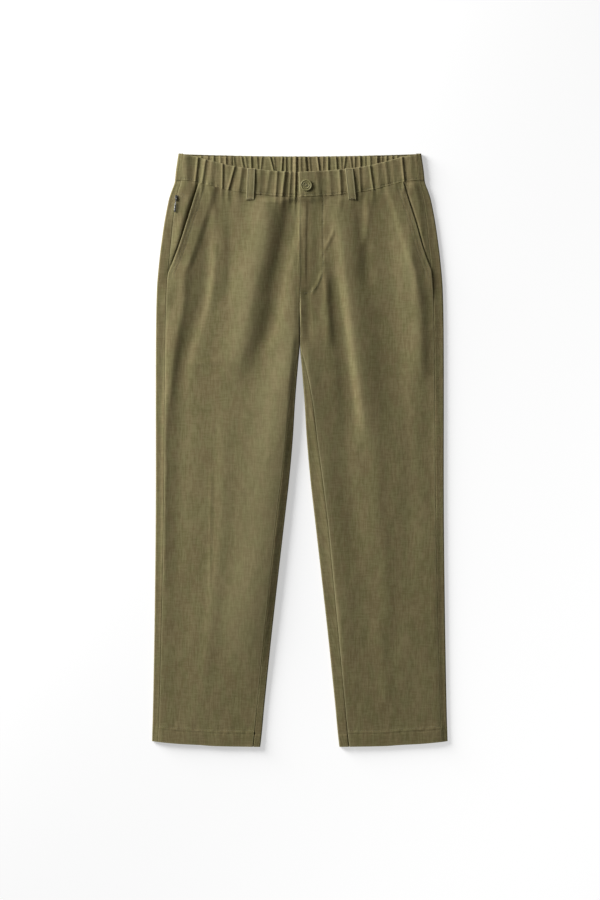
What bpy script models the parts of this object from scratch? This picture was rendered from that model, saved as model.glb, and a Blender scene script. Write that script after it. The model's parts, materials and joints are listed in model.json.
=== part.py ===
"""Linen trousers with an elasticated waist, laid flat on a surface with the front up.

Units are metres, +Z is up and the surface is z = 0. +X is the viewer's right and +Y runs from the hems to
the waist. Two words are used for places on the garment: "drop" is the distance down from the waist edge,
and "out" is the distance from the centre line, the same on both sides. A side is -1 (viewer's left) or +1.

Each leg is one loop of cloth. Its back panel lies on the surface, turns up round the fold at the side and
the fold at the inside leg, and meets the front panel at two seams on top.
"""

from bisect import bisect_right
from collections import namedtuple
from math import ceil, cos, exp, hypot, pi, radians, sin

import bmesh
import bpy
from mathutils import Matrix, Vector

# ---------------------------------------------------------------- driving sizes
LENGTH = 1.0047              # waist edge to the lowest point of the hem
CLOTH = 0.0013               # one panel of linen, seam allowances pressed in
SEAM_GAP = 0.0003            # between two pieces at a seam
FOLD_RADIUS = 0.0022         # of the soft fold at the side and the inside leg
CROTCH_DROP = 0.325          # where the legs part
SLIT_DROP = 0.278            # where the centre seam starts to sink between the legs
FRONT_ROOM = 0.0042          # height of the front's outer face at its folds
REST_LIFT = 0.0009           # how much higher the front rests away from its folds
WAIST_LIFT = 0.0014          # how much the thick waistband lifts the cloth beside it
WAIST_FADE = 0.060
LOFT_EASE = 0.030            # how far from a fold the cloth reaches its full height

BAND_HEIGHT = 0.0430         # the waistband, and its cloth with elastic inside
BAND_CLOTH = 0.0024
BAND_RADIUS = 0.0030
BAND_ROOM = 0.0064           # height of the band's outer face at the side fold
BAND_UNDER = 0.0042          # underside of the front band
BACK_BAND_DIP = 0.0042       # how much lower the back band's top edge is at its middle
BACK_BAND_SEAM = 0.0450      # drop of the seam under the back band

TONGUE = 0.020               # the left front's extension under the fly
BAND_TONGUE = 0.026          # the left band's extension under the button
FLY_TURN = 0.175             # drop where the fly extension starts to narrow
FLY_END = 0.232
FLY_LAP_END = 0.250          # the right front stays raised until the tongue is well past
POCKET_UNDER = 0.018         # how far the pocket facing runs under the front
POCKET_END = 0.215
LAP_ROOM = CLOTH + 0.0005    # one cloth over another
LAP_HOLD = 0.008             # the upper cloth stays up this far past the lower one's edge
LAP_FADE = 0.012

LOOP_WIDTH = 0.0134
LOOP_CLOTH = 0.0011
LOOP_BELOW = 0.0108          # front loops run this far below the band
LOOP_ARCH = 0.0012           # spare length for a belt
LAY_GAP = 0.0004             # under a piece that lies on another

BUTTON_RADIUS = 0.0101
BUTTON_X = 0.0110
BUTTON_DROP = 0.0542

ZIP_DROP = 0.0752            # the slider, on the side seam at the viewer's left
ZIP_LEAN = radians(-6.0)     # the seam's lean there
TAB_DROOP = radians(3.0)     # the pull tab hangs towards the cloth

# ---------------------------------------------------------------- tables
Side = namedtuple("Side", "drop out strip")
SIDE_FOLD = [
    # the side fold's distance from the centre, and how much of the back panel shows beside it
    Side(0.000, 0.2057, 0.0085),
    Side(0.029, 0.2100, 0.0095),
    Side(0.049, 0.2123, 0.0105),
    Side(0.063, 0.2174, 0.0115),
    Side(0.077, 0.2219, 0.0125),
    Side(0.111, 0.2287, 0.0145),
    Side(0.145, 0.2338, 0.0162),
    Side(0.179, 0.2380, 0.0170),
    Side(0.230, 0.2423, 0.0168),
    Side(0.332, 0.2440, 0.0160),
    Side(0.587, 0.2441, 0.0140),
    Side(0.757, 0.2457, 0.0125),
    Side(0.927, 0.2486, 0.0110),
    Side(LENGTH, 0.2508, 0.0100),
]

InsideLeg = namedtuple("InsideLeg", "drop out strip_left strip_right")
INSIDE_FOLD = [
    # the inside-leg fold, and how far along the cloth the seam lies beyond the fold's edge
    InsideLeg(CROTCH_DROP, 0.0000, 0.0000, 0.0000),
    InsideLeg(0.337, 0.0009, 0.0022, 0.0032),
    InsideLeg(0.352, 0.0024, 0.0046, 0.0065),
    InsideLeg(0.417, 0.0077, 0.0102, 0.0147),
    InsideLeg(0.485, 0.0119, 0.0135, 0.0192),
    InsideLeg(0.553, 0.0180, 0.0150, 0.0221),
    InsideLeg(0.621, 0.0257, 0.0156, 0.0229),
    InsideLeg(0.689, 0.0335, 0.0150, 0.0216),
    InsideLeg(0.757, 0.0412, 0.0141, 0.0203),
    InsideLeg(0.825, 0.0487, 0.0139, 0.0193),
    InsideLeg(0.961, 0.0628, 0.0132, 0.0178),
    InsideLeg(LENGTH, 0.0682, 0.0126, 0.0170),
]

BandSeam = namedtuple("BandSeam", "out drop")
BAND_SEAM = [
    # the seam under the front band, which sags at the middle
    BandSeam(0.000, 0.0744),
    BandSeam(0.051, 0.0716),
    BandSeam(0.076, 0.0690),
    BandSeam(0.102, 0.0659),
    BandSeam(0.122, 0.0622),
    BandSeam(0.140, 0.0578),
    BandSeam(0.158, 0.0530),
    BandSeam(0.177, 0.0482),
    BandSeam(0.206, BACK_BAND_SEAM),
]

Hem = namedtuple("Hem", "out drop")
HEM = [
    Hem(0.068, LENGTH),
    Hem(0.145, 1.0033),
    Hem(0.170, 1.0015),
    Hem(0.207, 0.9995),
    Hem(0.241, 0.9963),
    Hem(0.251, 0.9950),
]

Slant = namedtuple("Slant", "drop left right")
POCKET_SLANT = [
    # the pocket mouth: the front panel's cut-away edge
    Slant(0.044, 0.1690, 0.1732),
    Slant(0.085, 0.1815, 0.1862),
    Slant(0.119, 0.1923, 0.1972),
    Slant(0.153, 0.2034, 0.2066),
    Slant(0.187, 0.2165, 0.2185),
    Slant(0.215, 0.2290, 0.2310),
]

Pleat = namedtuple("Pleat", "top_x bottom_x depth")
PLEATS = [
    # the front band's pleats, left to right, at its top and bottom edge
    Pleat(-0.171, -0.176, 0.0013),
    Pleat(-0.158, -0.164, 0.0011),
    Pleat(-0.145, -0.148, 0.0008),
    Pleat(-0.130, -0.130, 0.0013),
    Pleat(-0.109, -0.120, 0.0013),
    Pleat(-0.095, -0.101, 0.0010),
    Pleat(-0.064, -0.066, 0.0008),
    Pleat(-0.048, -0.055, 0.0011),
    Pleat(-0.036, -0.039, 0.0011),
    Pleat(-0.023, -0.028, 0.0013),
    Pleat(-0.006, -0.005, 0.0013),
    Pleat(0.052, 0.055, 0.0007),
    Pleat(0.067, 0.070, 0.0008),
    Pleat(0.102, 0.104, 0.0011),
    Pleat(0.120, 0.126, 0.0013),
    Pleat(0.135, 0.138, 0.0008),
    Pleat(0.147, 0.152, 0.0011),
    Pleat(0.159, 0.164, 0.0008),
    Pleat(0.174, 0.178, 0.0013),
    Pleat(0.190, 0.193, 0.0007),
]
PLEAT_WIDTH = 0.0024         # half width of a pleat's valley
FURROW_WIDTH = 0.0065        # the same where the pleat runs out in the panel
FURROW_LENGTH = 0.045

GATHERS = 30                 # valleys on the inside of the back band
GATHER_SPAN = 0.352
GATHER_WIDTH = 0.0023
GATHER_DEPTH = 0.0011

Fold = namedtuple("Fold", "start_x middle_x end_x start_drop end_drop half_width height")
FOLDS = [
    # soft folds of the two fronts: a ridge has a height above 0, a trough below
    Fold(-0.190, -0.198, -0.221, 0.100, 0.430, 0.011, 0.0013),
    Fold(-0.164, -0.165, -0.192, 0.085, 0.400, 0.012, -0.0016),
    Fold(-0.120, -0.118, -0.130, 0.090, 0.300, 0.012, -0.0009),
    Fold(-0.052, -0.076, -0.112, 0.075, 0.400, 0.017, 0.0018),
    Fold(-0.014, -0.038, -0.084, 0.085, 0.440, 0.014, -0.0018),
    Fold(-0.022, -0.057, -0.096, 0.330, 0.930, 0.016, 0.0013),
    Fold(-0.198, -0.203, -0.208, 0.380, 0.760, 0.016, -0.0012),
    Fold(-0.110, -0.121, -0.132, 0.450, 0.860, 0.014, -0.0008),
    Fold(-0.132, -0.142, -0.162, 0.600, 0.940, 0.013, 0.0009),
    Fold(0.044, 0.042, 0.034, 0.190, 0.470, 0.010, 0.0011),
    Fold(0.036, 0.066, 0.081, 0.090, 0.500, 0.012, -0.0018),
    Fold(0.068, 0.093, 0.129, 0.080, 0.530, 0.015, 0.0018),
    Fold(0.142, 0.146, 0.180, 0.090, 0.640, 0.016, -0.0014),
    Fold(0.178, 0.196, 0.205, 0.085, 0.400, 0.014, 0.0014),
    Fold(0.076, 0.084, 0.104, 0.370, 0.720, 0.018, -0.0010),
    Fold(0.130, 0.138, 0.153, 0.470, 0.860, 0.016, 0.0010),
    Fold(0.192, 0.203, 0.196, 0.420, 0.840, 0.018, 0.0008),
    Fold(0.128, 0.140, 0.150, 0.760, 0.950, 0.014, 0.0009),
]
FOLD_TAPER = 0.30            # share of a fold's length over which it fades in or out

Zone = namedtuple("Zone", "end_drop rows")
ROW_ZONES = [
    # how many rows of faces each stretch of a leg has, below the front band's seam
    Zone(0.100, 3),
    Zone(0.270, 7),
    Zone(0.342, 6),
    Zone(0.980, 11),
    Zone(LENGTH, 1),
]
SEAM_FADE = 0.100            # the rows level out this far below the sagging band seam
HEM_FADE = 0.080

FRONT_COLUMNS = 26
EDGE_COLUMNS = 3             # the last few columns, close to a panel's inner edge
FACING_COLUMNS = 5
TURN_COLUMNS = 5             # round a fold
FLAT_COLUMNS = 5             # across the flat underside
BAND_ROWS = 3
BAND_COLUMN = 0.014          # widest column of the front band
LOOP_ROWS = 8
LOOP_COLUMNS = 2


# ---------------------------------------------------------------- small helpers
def ease(t):
    """Go smoothly from 0 at t = 0 to 1 at t = 1."""
    t = min(max(t, 0.0), 1.0)
    return t * t * (3.0 - 2.0 * t)


def mix(first, second, share):
    return first + (second - first) * share


def along(table, column, at):
    """Read one column of a table at any place, as a smooth curve through its rows."""
    places = [row[0] for row in table]
    values = [getattr(row, column) for row in table]
    last = len(table) - 1
    at = min(max(at, places[0]), places[last])
    low = min(bisect_right(places, at), last) - 1
    high = low + 1

    def slope(row):
        before, after = max(row - 1, 0), min(row + 1, last)
        return (values[after] - values[before]) / (places[after] - places[before])

    span = places[high] - places[low]
    t = (at - places[low]) / span
    bend_low = slope(low) * span
    bend_high = slope(high) * span
    return (values[low] * (1 + 2 * t) * (1 - t) ** 2 + bend_low * t * (1 - t) ** 2
            + values[high] * t * t * (3 - 2 * t) - bend_high * t * t * (1 - t))


def at_drop(x, drop, z):
    """A point of the garment from its drop below the waist edge."""
    return Vector((x, LENGTH / 2 - drop, z))


# ---------------------------------------------------------------- the trousers' outline
def side_out(drop):
    return along(SIDE_FOLD, "out", drop)


def side_seam(drop):
    """Where the side seam runs, on the front of the trousers."""
    return side_out(drop) - along(SIDE_FOLD, "strip", drop)


def tongue(drop):
    """Width of the left front's extension under the fly."""
    return TONGUE * (1 - ease((drop - FLY_TURN) / (FLY_END - FLY_TURN)))


def inside_out(side, drop):
    """The inner limit of a leg: the inside-leg fold, or above it the centre line and the fly tongue."""
    if drop > CROTCH_DROP:
        return along(INSIDE_FOLD, "out", drop) + SEAM_GAP / 2
    return SEAM_GAP / 2 - (tongue(drop) if side < 0 else 0.0)


def inside_strip(side, drop):
    return along(INSIDE_FOLD, "strip_left" if side < 0 else "strip_right", drop)


def slit(drop):
    """How far the centre seam has sunk between the legs: 0 above, 1 where the legs part."""
    return ease((drop - SLIT_DROP) / (CROTCH_DROP - SLIT_DROP))


def pocket_mouth(side, drop):
    """The front panel's outer edge: the slant of the pocket, and below it the side seam."""
    if drop > POCKET_END:
        return side_seam(drop) - SEAM_GAP
    slant = along(POCKET_SLANT, "left" if side < 0 else "right", drop)
    return min(slant, side_seam(drop) - SEAM_GAP)


def band_seam(x):
    return along(BAND_SEAM, "drop", abs(x))


def row_drops():
    drops = [band_seam(0)]
    for zone in ROW_ZONES:
        start = drops[-1]
        drops += [mix(start, zone.end_drop, step / zone.rows) for step in range(1, zone.rows + 1)]
    return drops


def true_drop(row_drop, out, waist_out):
    """Bend a level row to follow the band seam at the top and the hem at the bottom."""
    sag = band_seam(0) - band_seam(waist_out) - SEAM_GAP
    at_top = 1 - ease((row_drop - band_seam(0)) / SEAM_FADE)
    at_hem = ease(1 - (LENGTH - row_drop) / HEM_FADE)
    return row_drop - sag * at_top - (LENGTH - along(HEM, "drop", out)) * at_hem


# ---------------------------------------------------------------- how high the cloth lies
def fold_lift(x, drop):
    lift = 0.0
    for fold in FOLDS:
        t = (drop - fold.start_drop) / (fold.end_drop - fold.start_drop)
        if 0 < t < 1:
            centre = (fold.start_x * (1 - t) * (1 - 2 * t) + fold.middle_x * 4 * t * (1 - t)
                      + fold.end_x * t * (2 * t - 1))
            strength = fold.height * ease(min(t, 1 - t) / FOLD_TAPER)
            lift += strength * exp(-((x - centre) / fold.half_width) ** 2)
    return lift


def waist_lift(drop):
    return WAIST_LIFT * (1 - ease((drop - BACK_BAND_SEAM) / WAIST_FADE))


def loft(x, drop):
    """Height of the front's outer face above the surface."""
    out = abs(x)
    if drop > CROTCH_DROP:
        from_inside = out - along(INSIDE_FOLD, "out", drop)
    else:
        from_inside = hypot(out, CROTCH_DROP - drop)
    free = ease(min(side_out(drop) - out, from_inside) / LOFT_EASE)
    return FRONT_ROOM + waist_lift(drop) + free * (REST_LIFT + fold_lift(x, drop))


def lap(side, out, drop):
    """How much a front rises over the pocket facing and, on the right, over the fly tongue."""
    from_mouth = pocket_mouth(side, drop) - out
    over = 1 - ease((from_mouth - POCKET_UNDER - LAP_HOLD) / LAP_FADE)
    over *= 1 - ease((drop - POCKET_END) / LAP_FADE)
    if side > 0:
        over_fly = 1 - ease((out - tongue(drop) - LAP_HOLD) / LAP_FADE)
        over = max(over, over_fly * (1 - ease((drop - FLY_LAP_END) / LAP_FADE)))
    return LAP_ROOM * over


def furrows(x, drop):
    """How deep the pleats' valleys are where they run out in the panels."""
    fade = 1 - ease((drop - band_seam(x)) / FURROW_LENGTH)
    return fade * sum(pleat.depth * exp(-((x - pleat.bottom_x) / FURROW_WIDTH) ** 2) for pleat in PLEATS)


def turn(edge, inward, radius, room, closed, angle, depth):
    """A point on a fold, at an angle from the bottom, as (out, z).

    closed is 1 for a full fold and 0 where the cloth still lies flat. depth goes into the wall.
    """
    across = radius - depth * closed
    up = closed * (room / 2) * (1 - 2 * depth / room)
    return edge + inward * (radius - across * sin(angle)), depth + up * (1 - cos(angle))


# ---------------------------------------------------------------- meshes and materials
def material(name, colour, roughness, metallic=0.0):
    made = bpy.data.materials.new(name)
    made.use_nodes = True
    shader = made.node_tree.nodes["Principled BSDF"]
    shader.inputs["Base Color"].default_value = (*colour, 1.0)
    shader.inputs["Roughness"].default_value = roughness
    shader.inputs["Metallic"].default_value = metallic
    made.diffuse_color = (*colour, 1.0)
    return made


def add_object(name, bm, finish, crease=radians(40)):
    mesh = bpy.data.meshes.new(name)
    bm.to_mesh(mesh)
    bm.free()
    mesh.shade_smooth()
    mesh.set_sharp_from_angle(angle=crease)
    mesh.materials.append(finish)
    made = bpy.data.objects.new(name, mesh)
    bpy.context.collection.objects.link(made)
    return made


def wall(name, section_at, rows, finish):
    """Close the outer and the inner face into one wall of cloth.

    section_at(row, depth) gives the points across the piece at a row, at a depth into the wall:
    0 is the outer face and 1 the inner face.
    """
    bm = bmesh.new()
    faces = [[[bm.verts.new(point) for point in section_at(row, depth)] for row in range(rows + 1)]
             for depth in (0, 1)]
    columns = len(faces[0][0]) - 1
    for grid in faces:
        for row in range(rows):
            for column in range(columns):
                bm.faces.new((grid[row][column], grid[row][column + 1],
                              grid[row + 1][column + 1], grid[row + 1][column]))
    rim = [(0, column) for column in range(columns)]
    rim += [(row, columns) for row in range(rows)]
    rim += [(rows, column) for column in range(columns, 0, -1)]
    rim += [(row, 0) for row in range(rows, 0, -1)]
    outer, inner = faces
    for (row, column), (next_row, next_column) in zip(rim, rim[1:] + rim[:1]):
        bm.faces.new((outer[row][column], outer[next_row][next_column],
                      inner[next_row][next_column], inner[row][column]))
    bmesh.ops.recalc_face_normals(bm, faces=bm.faces)
    return add_object(name, bm, finish)


# ---------------------------------------------------------------- fronts, backs and pocket facings
ROWS = row_drops()


def front_edge_run(side, drop):
    """The front's inner edge, along the cloth past the top of the inside fold."""
    return FOLD_RADIUS * pi / 2 - inside_strip(side, drop) - SEAM_GAP / 2


def front_turn(side, drop, run, depth):
    """A point near the front's inner edge, as (out, z). run is counted past the top of the fold."""
    edge = inside_out(side, drop)
    depth *= CLOTH
    out = edge + FOLD_RADIUS - run
    if run <= 0:
        return out, loft(side * out, drop) + lap(side, out, drop) - depth
    room = loft(side * (edge + FOLD_RADIUS), drop)
    out, z = turn(edge, 1, FOLD_RADIUS, room, slit(drop), run / FOLD_RADIUS, depth)
    return out, room + lap(side, out, drop) - z


def front_section(side, row, depth):
    level = ROWS[row]
    edge_length = FOLD_RADIUS * pi / 2
    points = []
    for column in range(FRONT_COLUMNS + EDGE_COLUMNS + 1):
        drop = level
        for _ in range(3):       # the place and the bent row depend on each other, and settle at once
            run = front_edge_run(side, drop)
            inner = front_turn(side, drop, run - edge_length, 0)[0]
            out = mix(pocket_mouth(side, drop), inner, min(column / FRONT_COLUMNS, 1))
            drop = true_drop(level, abs(out), abs(out))
        if column <= FRONT_COLUMNS:
            z = loft(side * out, drop) + lap(side, out, drop) - depth * CLOTH
        else:
            past = (column - FRONT_COLUMNS) / EDGE_COLUMNS
            out, z = front_turn(side, drop, run - edge_length * (1 - past), depth)
        z -= furrows(side * out, drop)
        points.append(at_drop(side * out, drop, z))
    return points


def back_section(side, row, depth):
    level = ROWS[row]
    side_drop = true_drop(level, side_out(level), side_out(level))
    edge = side_out(side_drop)
    inner_edge = inside_out(1, side_drop)
    inset = depth * CLOTH
    spots = []
    seam = side_seam(side_drop)
    spots.append((seam, loft(side * seam, side_drop) - inset))
    side_room = FRONT_ROOM + waist_lift(side_drop)
    for step in range(TURN_COLUMNS + 1):
        angle = pi * (1 - step / TURN_COLUMNS)
        spots.append(turn(edge, -1, FOLD_RADIUS, side_room, 1, angle, inset))
    for step in range(1, FLAT_COLUMNS):
        out = mix(edge - FOLD_RADIUS, inner_edge + FOLD_RADIUS, step / FLAT_COLUMNS)
        spots.append((out, inset))
    run_end = FOLD_RADIUS * pi / 2 + inside_strip(side, side_drop) - SEAM_GAP / 2
    run_turned = min(FOLD_RADIUS * pi, 0.9 * run_end)
    inside_room = loft(side * (inner_edge + FOLD_RADIUS), side_drop)
    for run in [run_turned * step / TURN_COLUMNS for step in range(TURN_COLUMNS + 1)] + [run_end]:
        if run <= FOLD_RADIUS * pi:
            angle = run / FOLD_RADIUS
            spots.append(turn(inner_edge, 1, FOLD_RADIUS, inside_room, slit(side_drop), angle, inset))
        else:
            out = inner_edge + FOLD_RADIUS + run - FOLD_RADIUS * pi
            spots.append((out, loft(side * out, side_drop) - inset))
    return [at_drop(side * out, true_drop(level, out, side_out(level)), z) for out, z in spots]


def facing_section(side, row, depth):
    level = ROWS[row]
    points = []
    for column in range(FACING_COLUMNS + 1):
        drop = level
        for _ in range(3):
            outer = side_seam(drop) - SEAM_GAP
            inner = pocket_mouth(side, drop) - POCKET_UNDER
            out = mix(outer, inner, column / FACING_COLUMNS)
            drop = true_drop(level, out, out)
        z = loft(side * out, drop) - furrows(side * out, drop) - depth * CLOTH
        points.append(at_drop(side * out, drop, z))
    return points


def make_panels(linen):
    facing_rows = bisect_right(ROWS, POCKET_END - 0.005) - 1
    for side, hand in ((-1, "left"), (1, "right")):
        wall(f"front_{hand}", lambda row, depth: front_section(side, row, depth), len(ROWS) - 1, linen)
        wall(f"back_{hand}", lambda row, depth: back_section(side, row, depth), len(ROWS) - 1, linen)
        wall(f"pocket_facing_{hand}", lambda row, depth: facing_section(side, row, depth), facing_rows, linen)


# ---------------------------------------------------------------- waistband
def gathers():
    """Places and depths of the valleys inside the back band, a little uneven as gathers are."""
    for index in range(GATHERS):
        x = GATHER_SPAN * ((index + 0.5) / GATHERS - 0.5) + 0.0022 * sin(index * 2.4)
        yield x, GATHER_DEPTH * (0.75 + 0.25 * sin(index * 1.7))


BACK_LOOP_X = (-0.125, 0.0, 0.125)
DENT_FLAT = LOOP_WIDTH / 2 + 0.0015
DENT_SLOPE = 0.004


def loop_dent(x):
    """How much the back band rises over the belt loops under it."""
    away = min(abs(x - loop_x) for loop_x in BACK_LOOP_X)
    return (LOOP_CLOTH + SEAM_GAP) * (1 - ease((away - DENT_FLAT) / DENT_SLOPE))


def back_band_places():
    """Where the columns of the back band's underside are: three to a gather, more at the loops."""
    places = {0.0, -BAND_RADIUS}
    for x, _ in gathers():
        places |= {x - GATHER_WIDTH, x, x + GATHER_WIDTH}
    for loop_x in BACK_LOOP_X:
        for away in (DENT_FLAT, DENT_FLAT + DENT_SLOPE):
            places |= {loop_x - away, loop_x + away}
    kept = []
    for place in sorted(places):
        if not kept or place - kept[-1] > GATHER_WIDTH / 3:
            kept.append(place)
    return kept


def back_band_section(row, depth):
    share = row / BAND_ROWS
    side_drop = BACK_BAND_SEAM * share
    edge = side_out(side_drop)
    seam = side_seam(side_drop)
    inset = depth * BAND_CLOTH
    half = [(seam, BAND_ROOM - inset)]
    for step in range(TURN_COLUMNS + 1):
        angle = pi * (1 - step / TURN_COLUMNS)
        half.append(turn(edge, -1, BAND_RADIUS, BAND_ROOM, 1, angle, inset))
    points = [at_drop(-out, side_drop, z) for out, z in half]
    for x in back_band_places():
        drop = side_drop + BACK_BAND_DIP * (1 - share) * (1 - (x / edge) ** 2)
        valley = sum(deep * exp(-((x - place) / GATHER_WIDTH) ** 2) for place, deep in gathers())
        points.append(at_drop(x, drop, loop_dent(x) + depth * (BAND_CLOTH - valley)))
    return points + [at_drop(out, side_drop, z) for out, z in reversed(half)]


def front_band_lap(x):
    """How much the right band rises over the left band's tongue."""
    return (BAND_CLOTH + 0.0006) * (1 - ease((x - BAND_TONGUE - LAP_HOLD) / LAP_FADE))


def front_band_columns(side):
    """Top and bottom x of the columns between the side seam and the inner edge: three to a pleat."""
    pleats = [pleat for pleat in PLEATS if pleat.top_x * side > 0]
    columns = []
    for pleat in pleats:
        columns += [(pleat.top_x + shift, pleat.bottom_x + shift) for shift in (-PLEAT_WIDTH, 0, PLEAT_WIDTH)]
    if side > 0:
        lap_end = BAND_TONGUE + LAP_HOLD
        columns += [(x, x) for x in (SEAM_GAP / 2, lap_end, lap_end + LAP_FADE / 2, lap_end + LAP_FADE)]
    else:
        columns.append((BAND_TONGUE, BAND_TONGUE))
    columns.sort(reverse=side > 0)
    filled = columns[:1]
    for top_x, bottom_x in columns[1:]:
        last_top, last_bottom = filled[-1]
        parts = ceil(abs(top_x - last_top) / BAND_COLUMN)
        filled += [(mix(last_top, top_x, part / parts), mix(last_bottom, bottom_x, part / parts))
                   for part in range(1, parts + 1)]
    return filled


def front_band_top(x):
    """Height of the front band's outer face, away from its pleats."""
    return BAND_UNDER + BAND_CLOTH + (front_band_lap(x) if x > 0 else 0.0)


def front_band_section(side, row, depth):
    share = row / BAND_ROWS
    seam_drop = mix(band_seam(side_seam(0)) - BAND_HEIGHT, band_seam(side_seam(BAND_HEIGHT)), share)
    start = side * (side_seam(seam_drop) - SEAM_GAP)
    points = []
    for x in [start] + [mix(top_x, bottom_x, share) for top_x, bottom_x in front_band_columns(side)]:
        drop = band_seam(x) - BAND_HEIGHT * (1 - share)
        lifted = front_band_lap(x) if side > 0 else 0.0
        valley = sum(pleat.depth * exp(-((x - mix(pleat.top_x, pleat.bottom_x, share)) / PLEAT_WIDTH) ** 2)
                     for pleat in PLEATS)
        points.append(at_drop(x, drop, BAND_UNDER + lifted + (1 - depth) * (BAND_CLOTH - valley)))
    return points


def make_waistband(linen):
    wall("waistband_back", back_band_section, BAND_ROWS, linen)
    for side, hand in ((-1, "left"), (1, "right")):
        wall(f"waistband_front_{hand}", lambda row, depth: front_band_section(side, row, depth),
             BAND_ROWS, linen)


# ---------------------------------------------------------------- belt loops
FrontLoop = namedtuple("FrontLoop", "hand top_x bottom_x")
FRONT_LOOPS = [
    FrontLoop("left", -0.0822, -0.0842),
    FrontLoop("right", 0.0832, 0.0890),
]
LOOP_SETTLE = 0.005          # the loop comes down from the band to the panel over this length


def front_loop_section(loop, row, depth):
    """A strip from the band's top edge, over the band and its seam, to the panel below."""
    share = row / LOOP_ROWS
    centre = mix(loop.top_x, loop.bottom_x, share)
    drop = band_seam(centre) - BAND_HEIGHT + (BAND_HEIGHT + LOOP_BELOW) * share
    down = ease((drop - band_seam(centre) - SEAM_GAP) / LOOP_SETTLE)
    base = mix(front_band_top(centre), loft(centre, drop), down) + LAY_GAP + LOOP_ARCH * sin(pi * share)
    z = base + LOOP_CLOTH * (1 - depth)
    return [at_drop(centre + LOOP_WIDTH * (step / LOOP_COLUMNS - 0.5), drop, z)
            for step in range(LOOP_COLUMNS + 1)]


def back_loop_section(loop_x, row, depth):
    """A flat strip between the back band and the surface."""
    margin = 0.0012
    drop = mix(BACK_BAND_DIP + margin, BACK_BAND_SEAM - margin, row)
    z = LOOP_CLOTH * depth
    return [at_drop(loop_x + LOOP_WIDTH * (step / LOOP_COLUMNS - 0.5), drop, z)
            for step in range(LOOP_COLUMNS + 1)]


def make_belt_loops(linen):
    for loop in FRONT_LOOPS:
        wall(f"belt_loop_front_{loop.hand}", lambda row, depth: front_loop_section(loop, row, depth),
             LOOP_ROWS, linen)
    for loop_x, where in zip(BACK_LOOP_X, ("left", "middle", "right")):
        wall(f"belt_loop_back_{where}", lambda row, depth: back_loop_section(loop_x, row, depth), 1, linen)


# ---------------------------------------------------------------- button
def make_button(finish):
    """A sew-through button: a raised rim round a dished face, turned about its axis."""
    base = front_band_top(BUTTON_X) + LAY_GAP
    profile = [
        # radius and height above the band, as shares of the button's radius
        (0.00, 0.00), (0.86, 0.00), (1.00, 0.10), (1.00, 0.20), (0.94, 0.29), (0.84, 0.30),
        (0.74, 0.22), (0.40, 0.17), (0.00, 0.17),
    ]
    bm = bmesh.new()
    verts = [bm.verts.new((radius * BUTTON_RADIUS, 0, height * BUTTON_RADIUS)) for radius, height in profile]
    edges = [bm.edges.new(pair) for pair in zip(verts, verts[1:])]
    bmesh.ops.spin(bm, geom=verts + edges, axis=(0, 0, 1), cent=(0, 0, 0), angle=2 * pi, steps=28,
                   use_merge=True)
    bmesh.ops.remove_doubles(bm, verts=bm.verts, dist=1e-6)
    bmesh.ops.recalc_face_normals(bm, faces=bm.faces)
    button = add_object("button", bm, finish, crease=radians(50))
    button.location = at_drop(BUTTON_X, BUTTON_DROP, base)


# ---------------------------------------------------------------- zip slider and pull tab
SLIDER_LENGTH = 0.0086
SLIDER_WIDTH = 0.0052
SLIDER_NOSE = 0.0034         # the slider narrows towards its lower end
SLIDER_THICK = 0.0018
BAIL_WIDTH = 0.0016
BAIL_LENGTH = 0.0044
BAIL_WALL = 0.0009
BAIL_WINDOW = 0.0014         # height of the eye under the bail
AXIS_HEIGHT = SLIDER_THICK + BAIL_WINDOW / 2
TAB_LENGTH = 0.0245
TAB_WIDTH = 0.0036
TAB_THICK = 0.0008
TAB_EYE = 0.0028             # from the hinge axis to the end of the tab's eye
BAIL_GAP = 0.0004            # between the bail and the tab's eye


def prism(outline, axis, half):
    """Extrude an outline both ways along an axis. The outline's pairs go to the other two axes."""
    def point(pair, reach):
        place = list(pair)
        place.insert(axis, reach)
        return place

    bm = bmesh.new()
    face = bm.faces.new([bm.verts.new(point(pair, -half)) for pair in outline])
    grown = bmesh.ops.extrude_face_region(bm, geom=[face])
    moved = [item for item in grown["geom"] if isinstance(item, bmesh.types.BMVert)]
    shift = [0.0, 0.0, 0.0]
    shift[axis] = 2 * half
    bmesh.ops.translate(bm, verts=moved, vec=shift)
    bmesh.ops.recalc_face_normals(bm, faces=bm.faces)
    return bm


def bevelled(bm, width, axis):
    """Round the two outlines of a prism, but not its upright edges."""
    rims = [edge for edge in bm.edges if abs(edge.verts[0].co[axis] - edge.verts[1].co[axis]) < 1e-7]
    bmesh.ops.bevel(bm, geom=rims, offset=width, segments=2, profile=0.5, affect="EDGES", material=-1)
    return bm


def slider_outline():
    half, nose, end = SLIDER_WIDTH / 2, SLIDER_NOSE / 2, SLIDER_LENGTH / 2
    corner = 0.0008
    right = [(nose - corner, -end), (nose, -end + corner), (half, 0.1 * end), (half, end - corner),
             (half - corner, end)]
    return right + [(-x, y) for x, y in reversed(right)]


def bail_outline():
    """The arch over the tab's bar, as (y, z): its feet stand in the slider."""
    reach, eye = BAIL_LENGTH / 2, BAIL_LENGTH / 2 - BAIL_WALL
    foot, top = SLIDER_THICK - 0.0005, SLIDER_THICK + BAIL_WINDOW
    corner = 0.0006
    outer = [(reach, foot), (reach, top + BAIL_WALL - corner), (reach - corner, top + BAIL_WALL)]
    inner = [(eye, foot), (eye, top - corner / 2), (eye - corner / 2, top)]
    arch = outer + [(-y, z) for y, z in reversed(outer)]
    return arch + [(-y, z) for y, z in inner] + list(reversed(inner))


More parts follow.
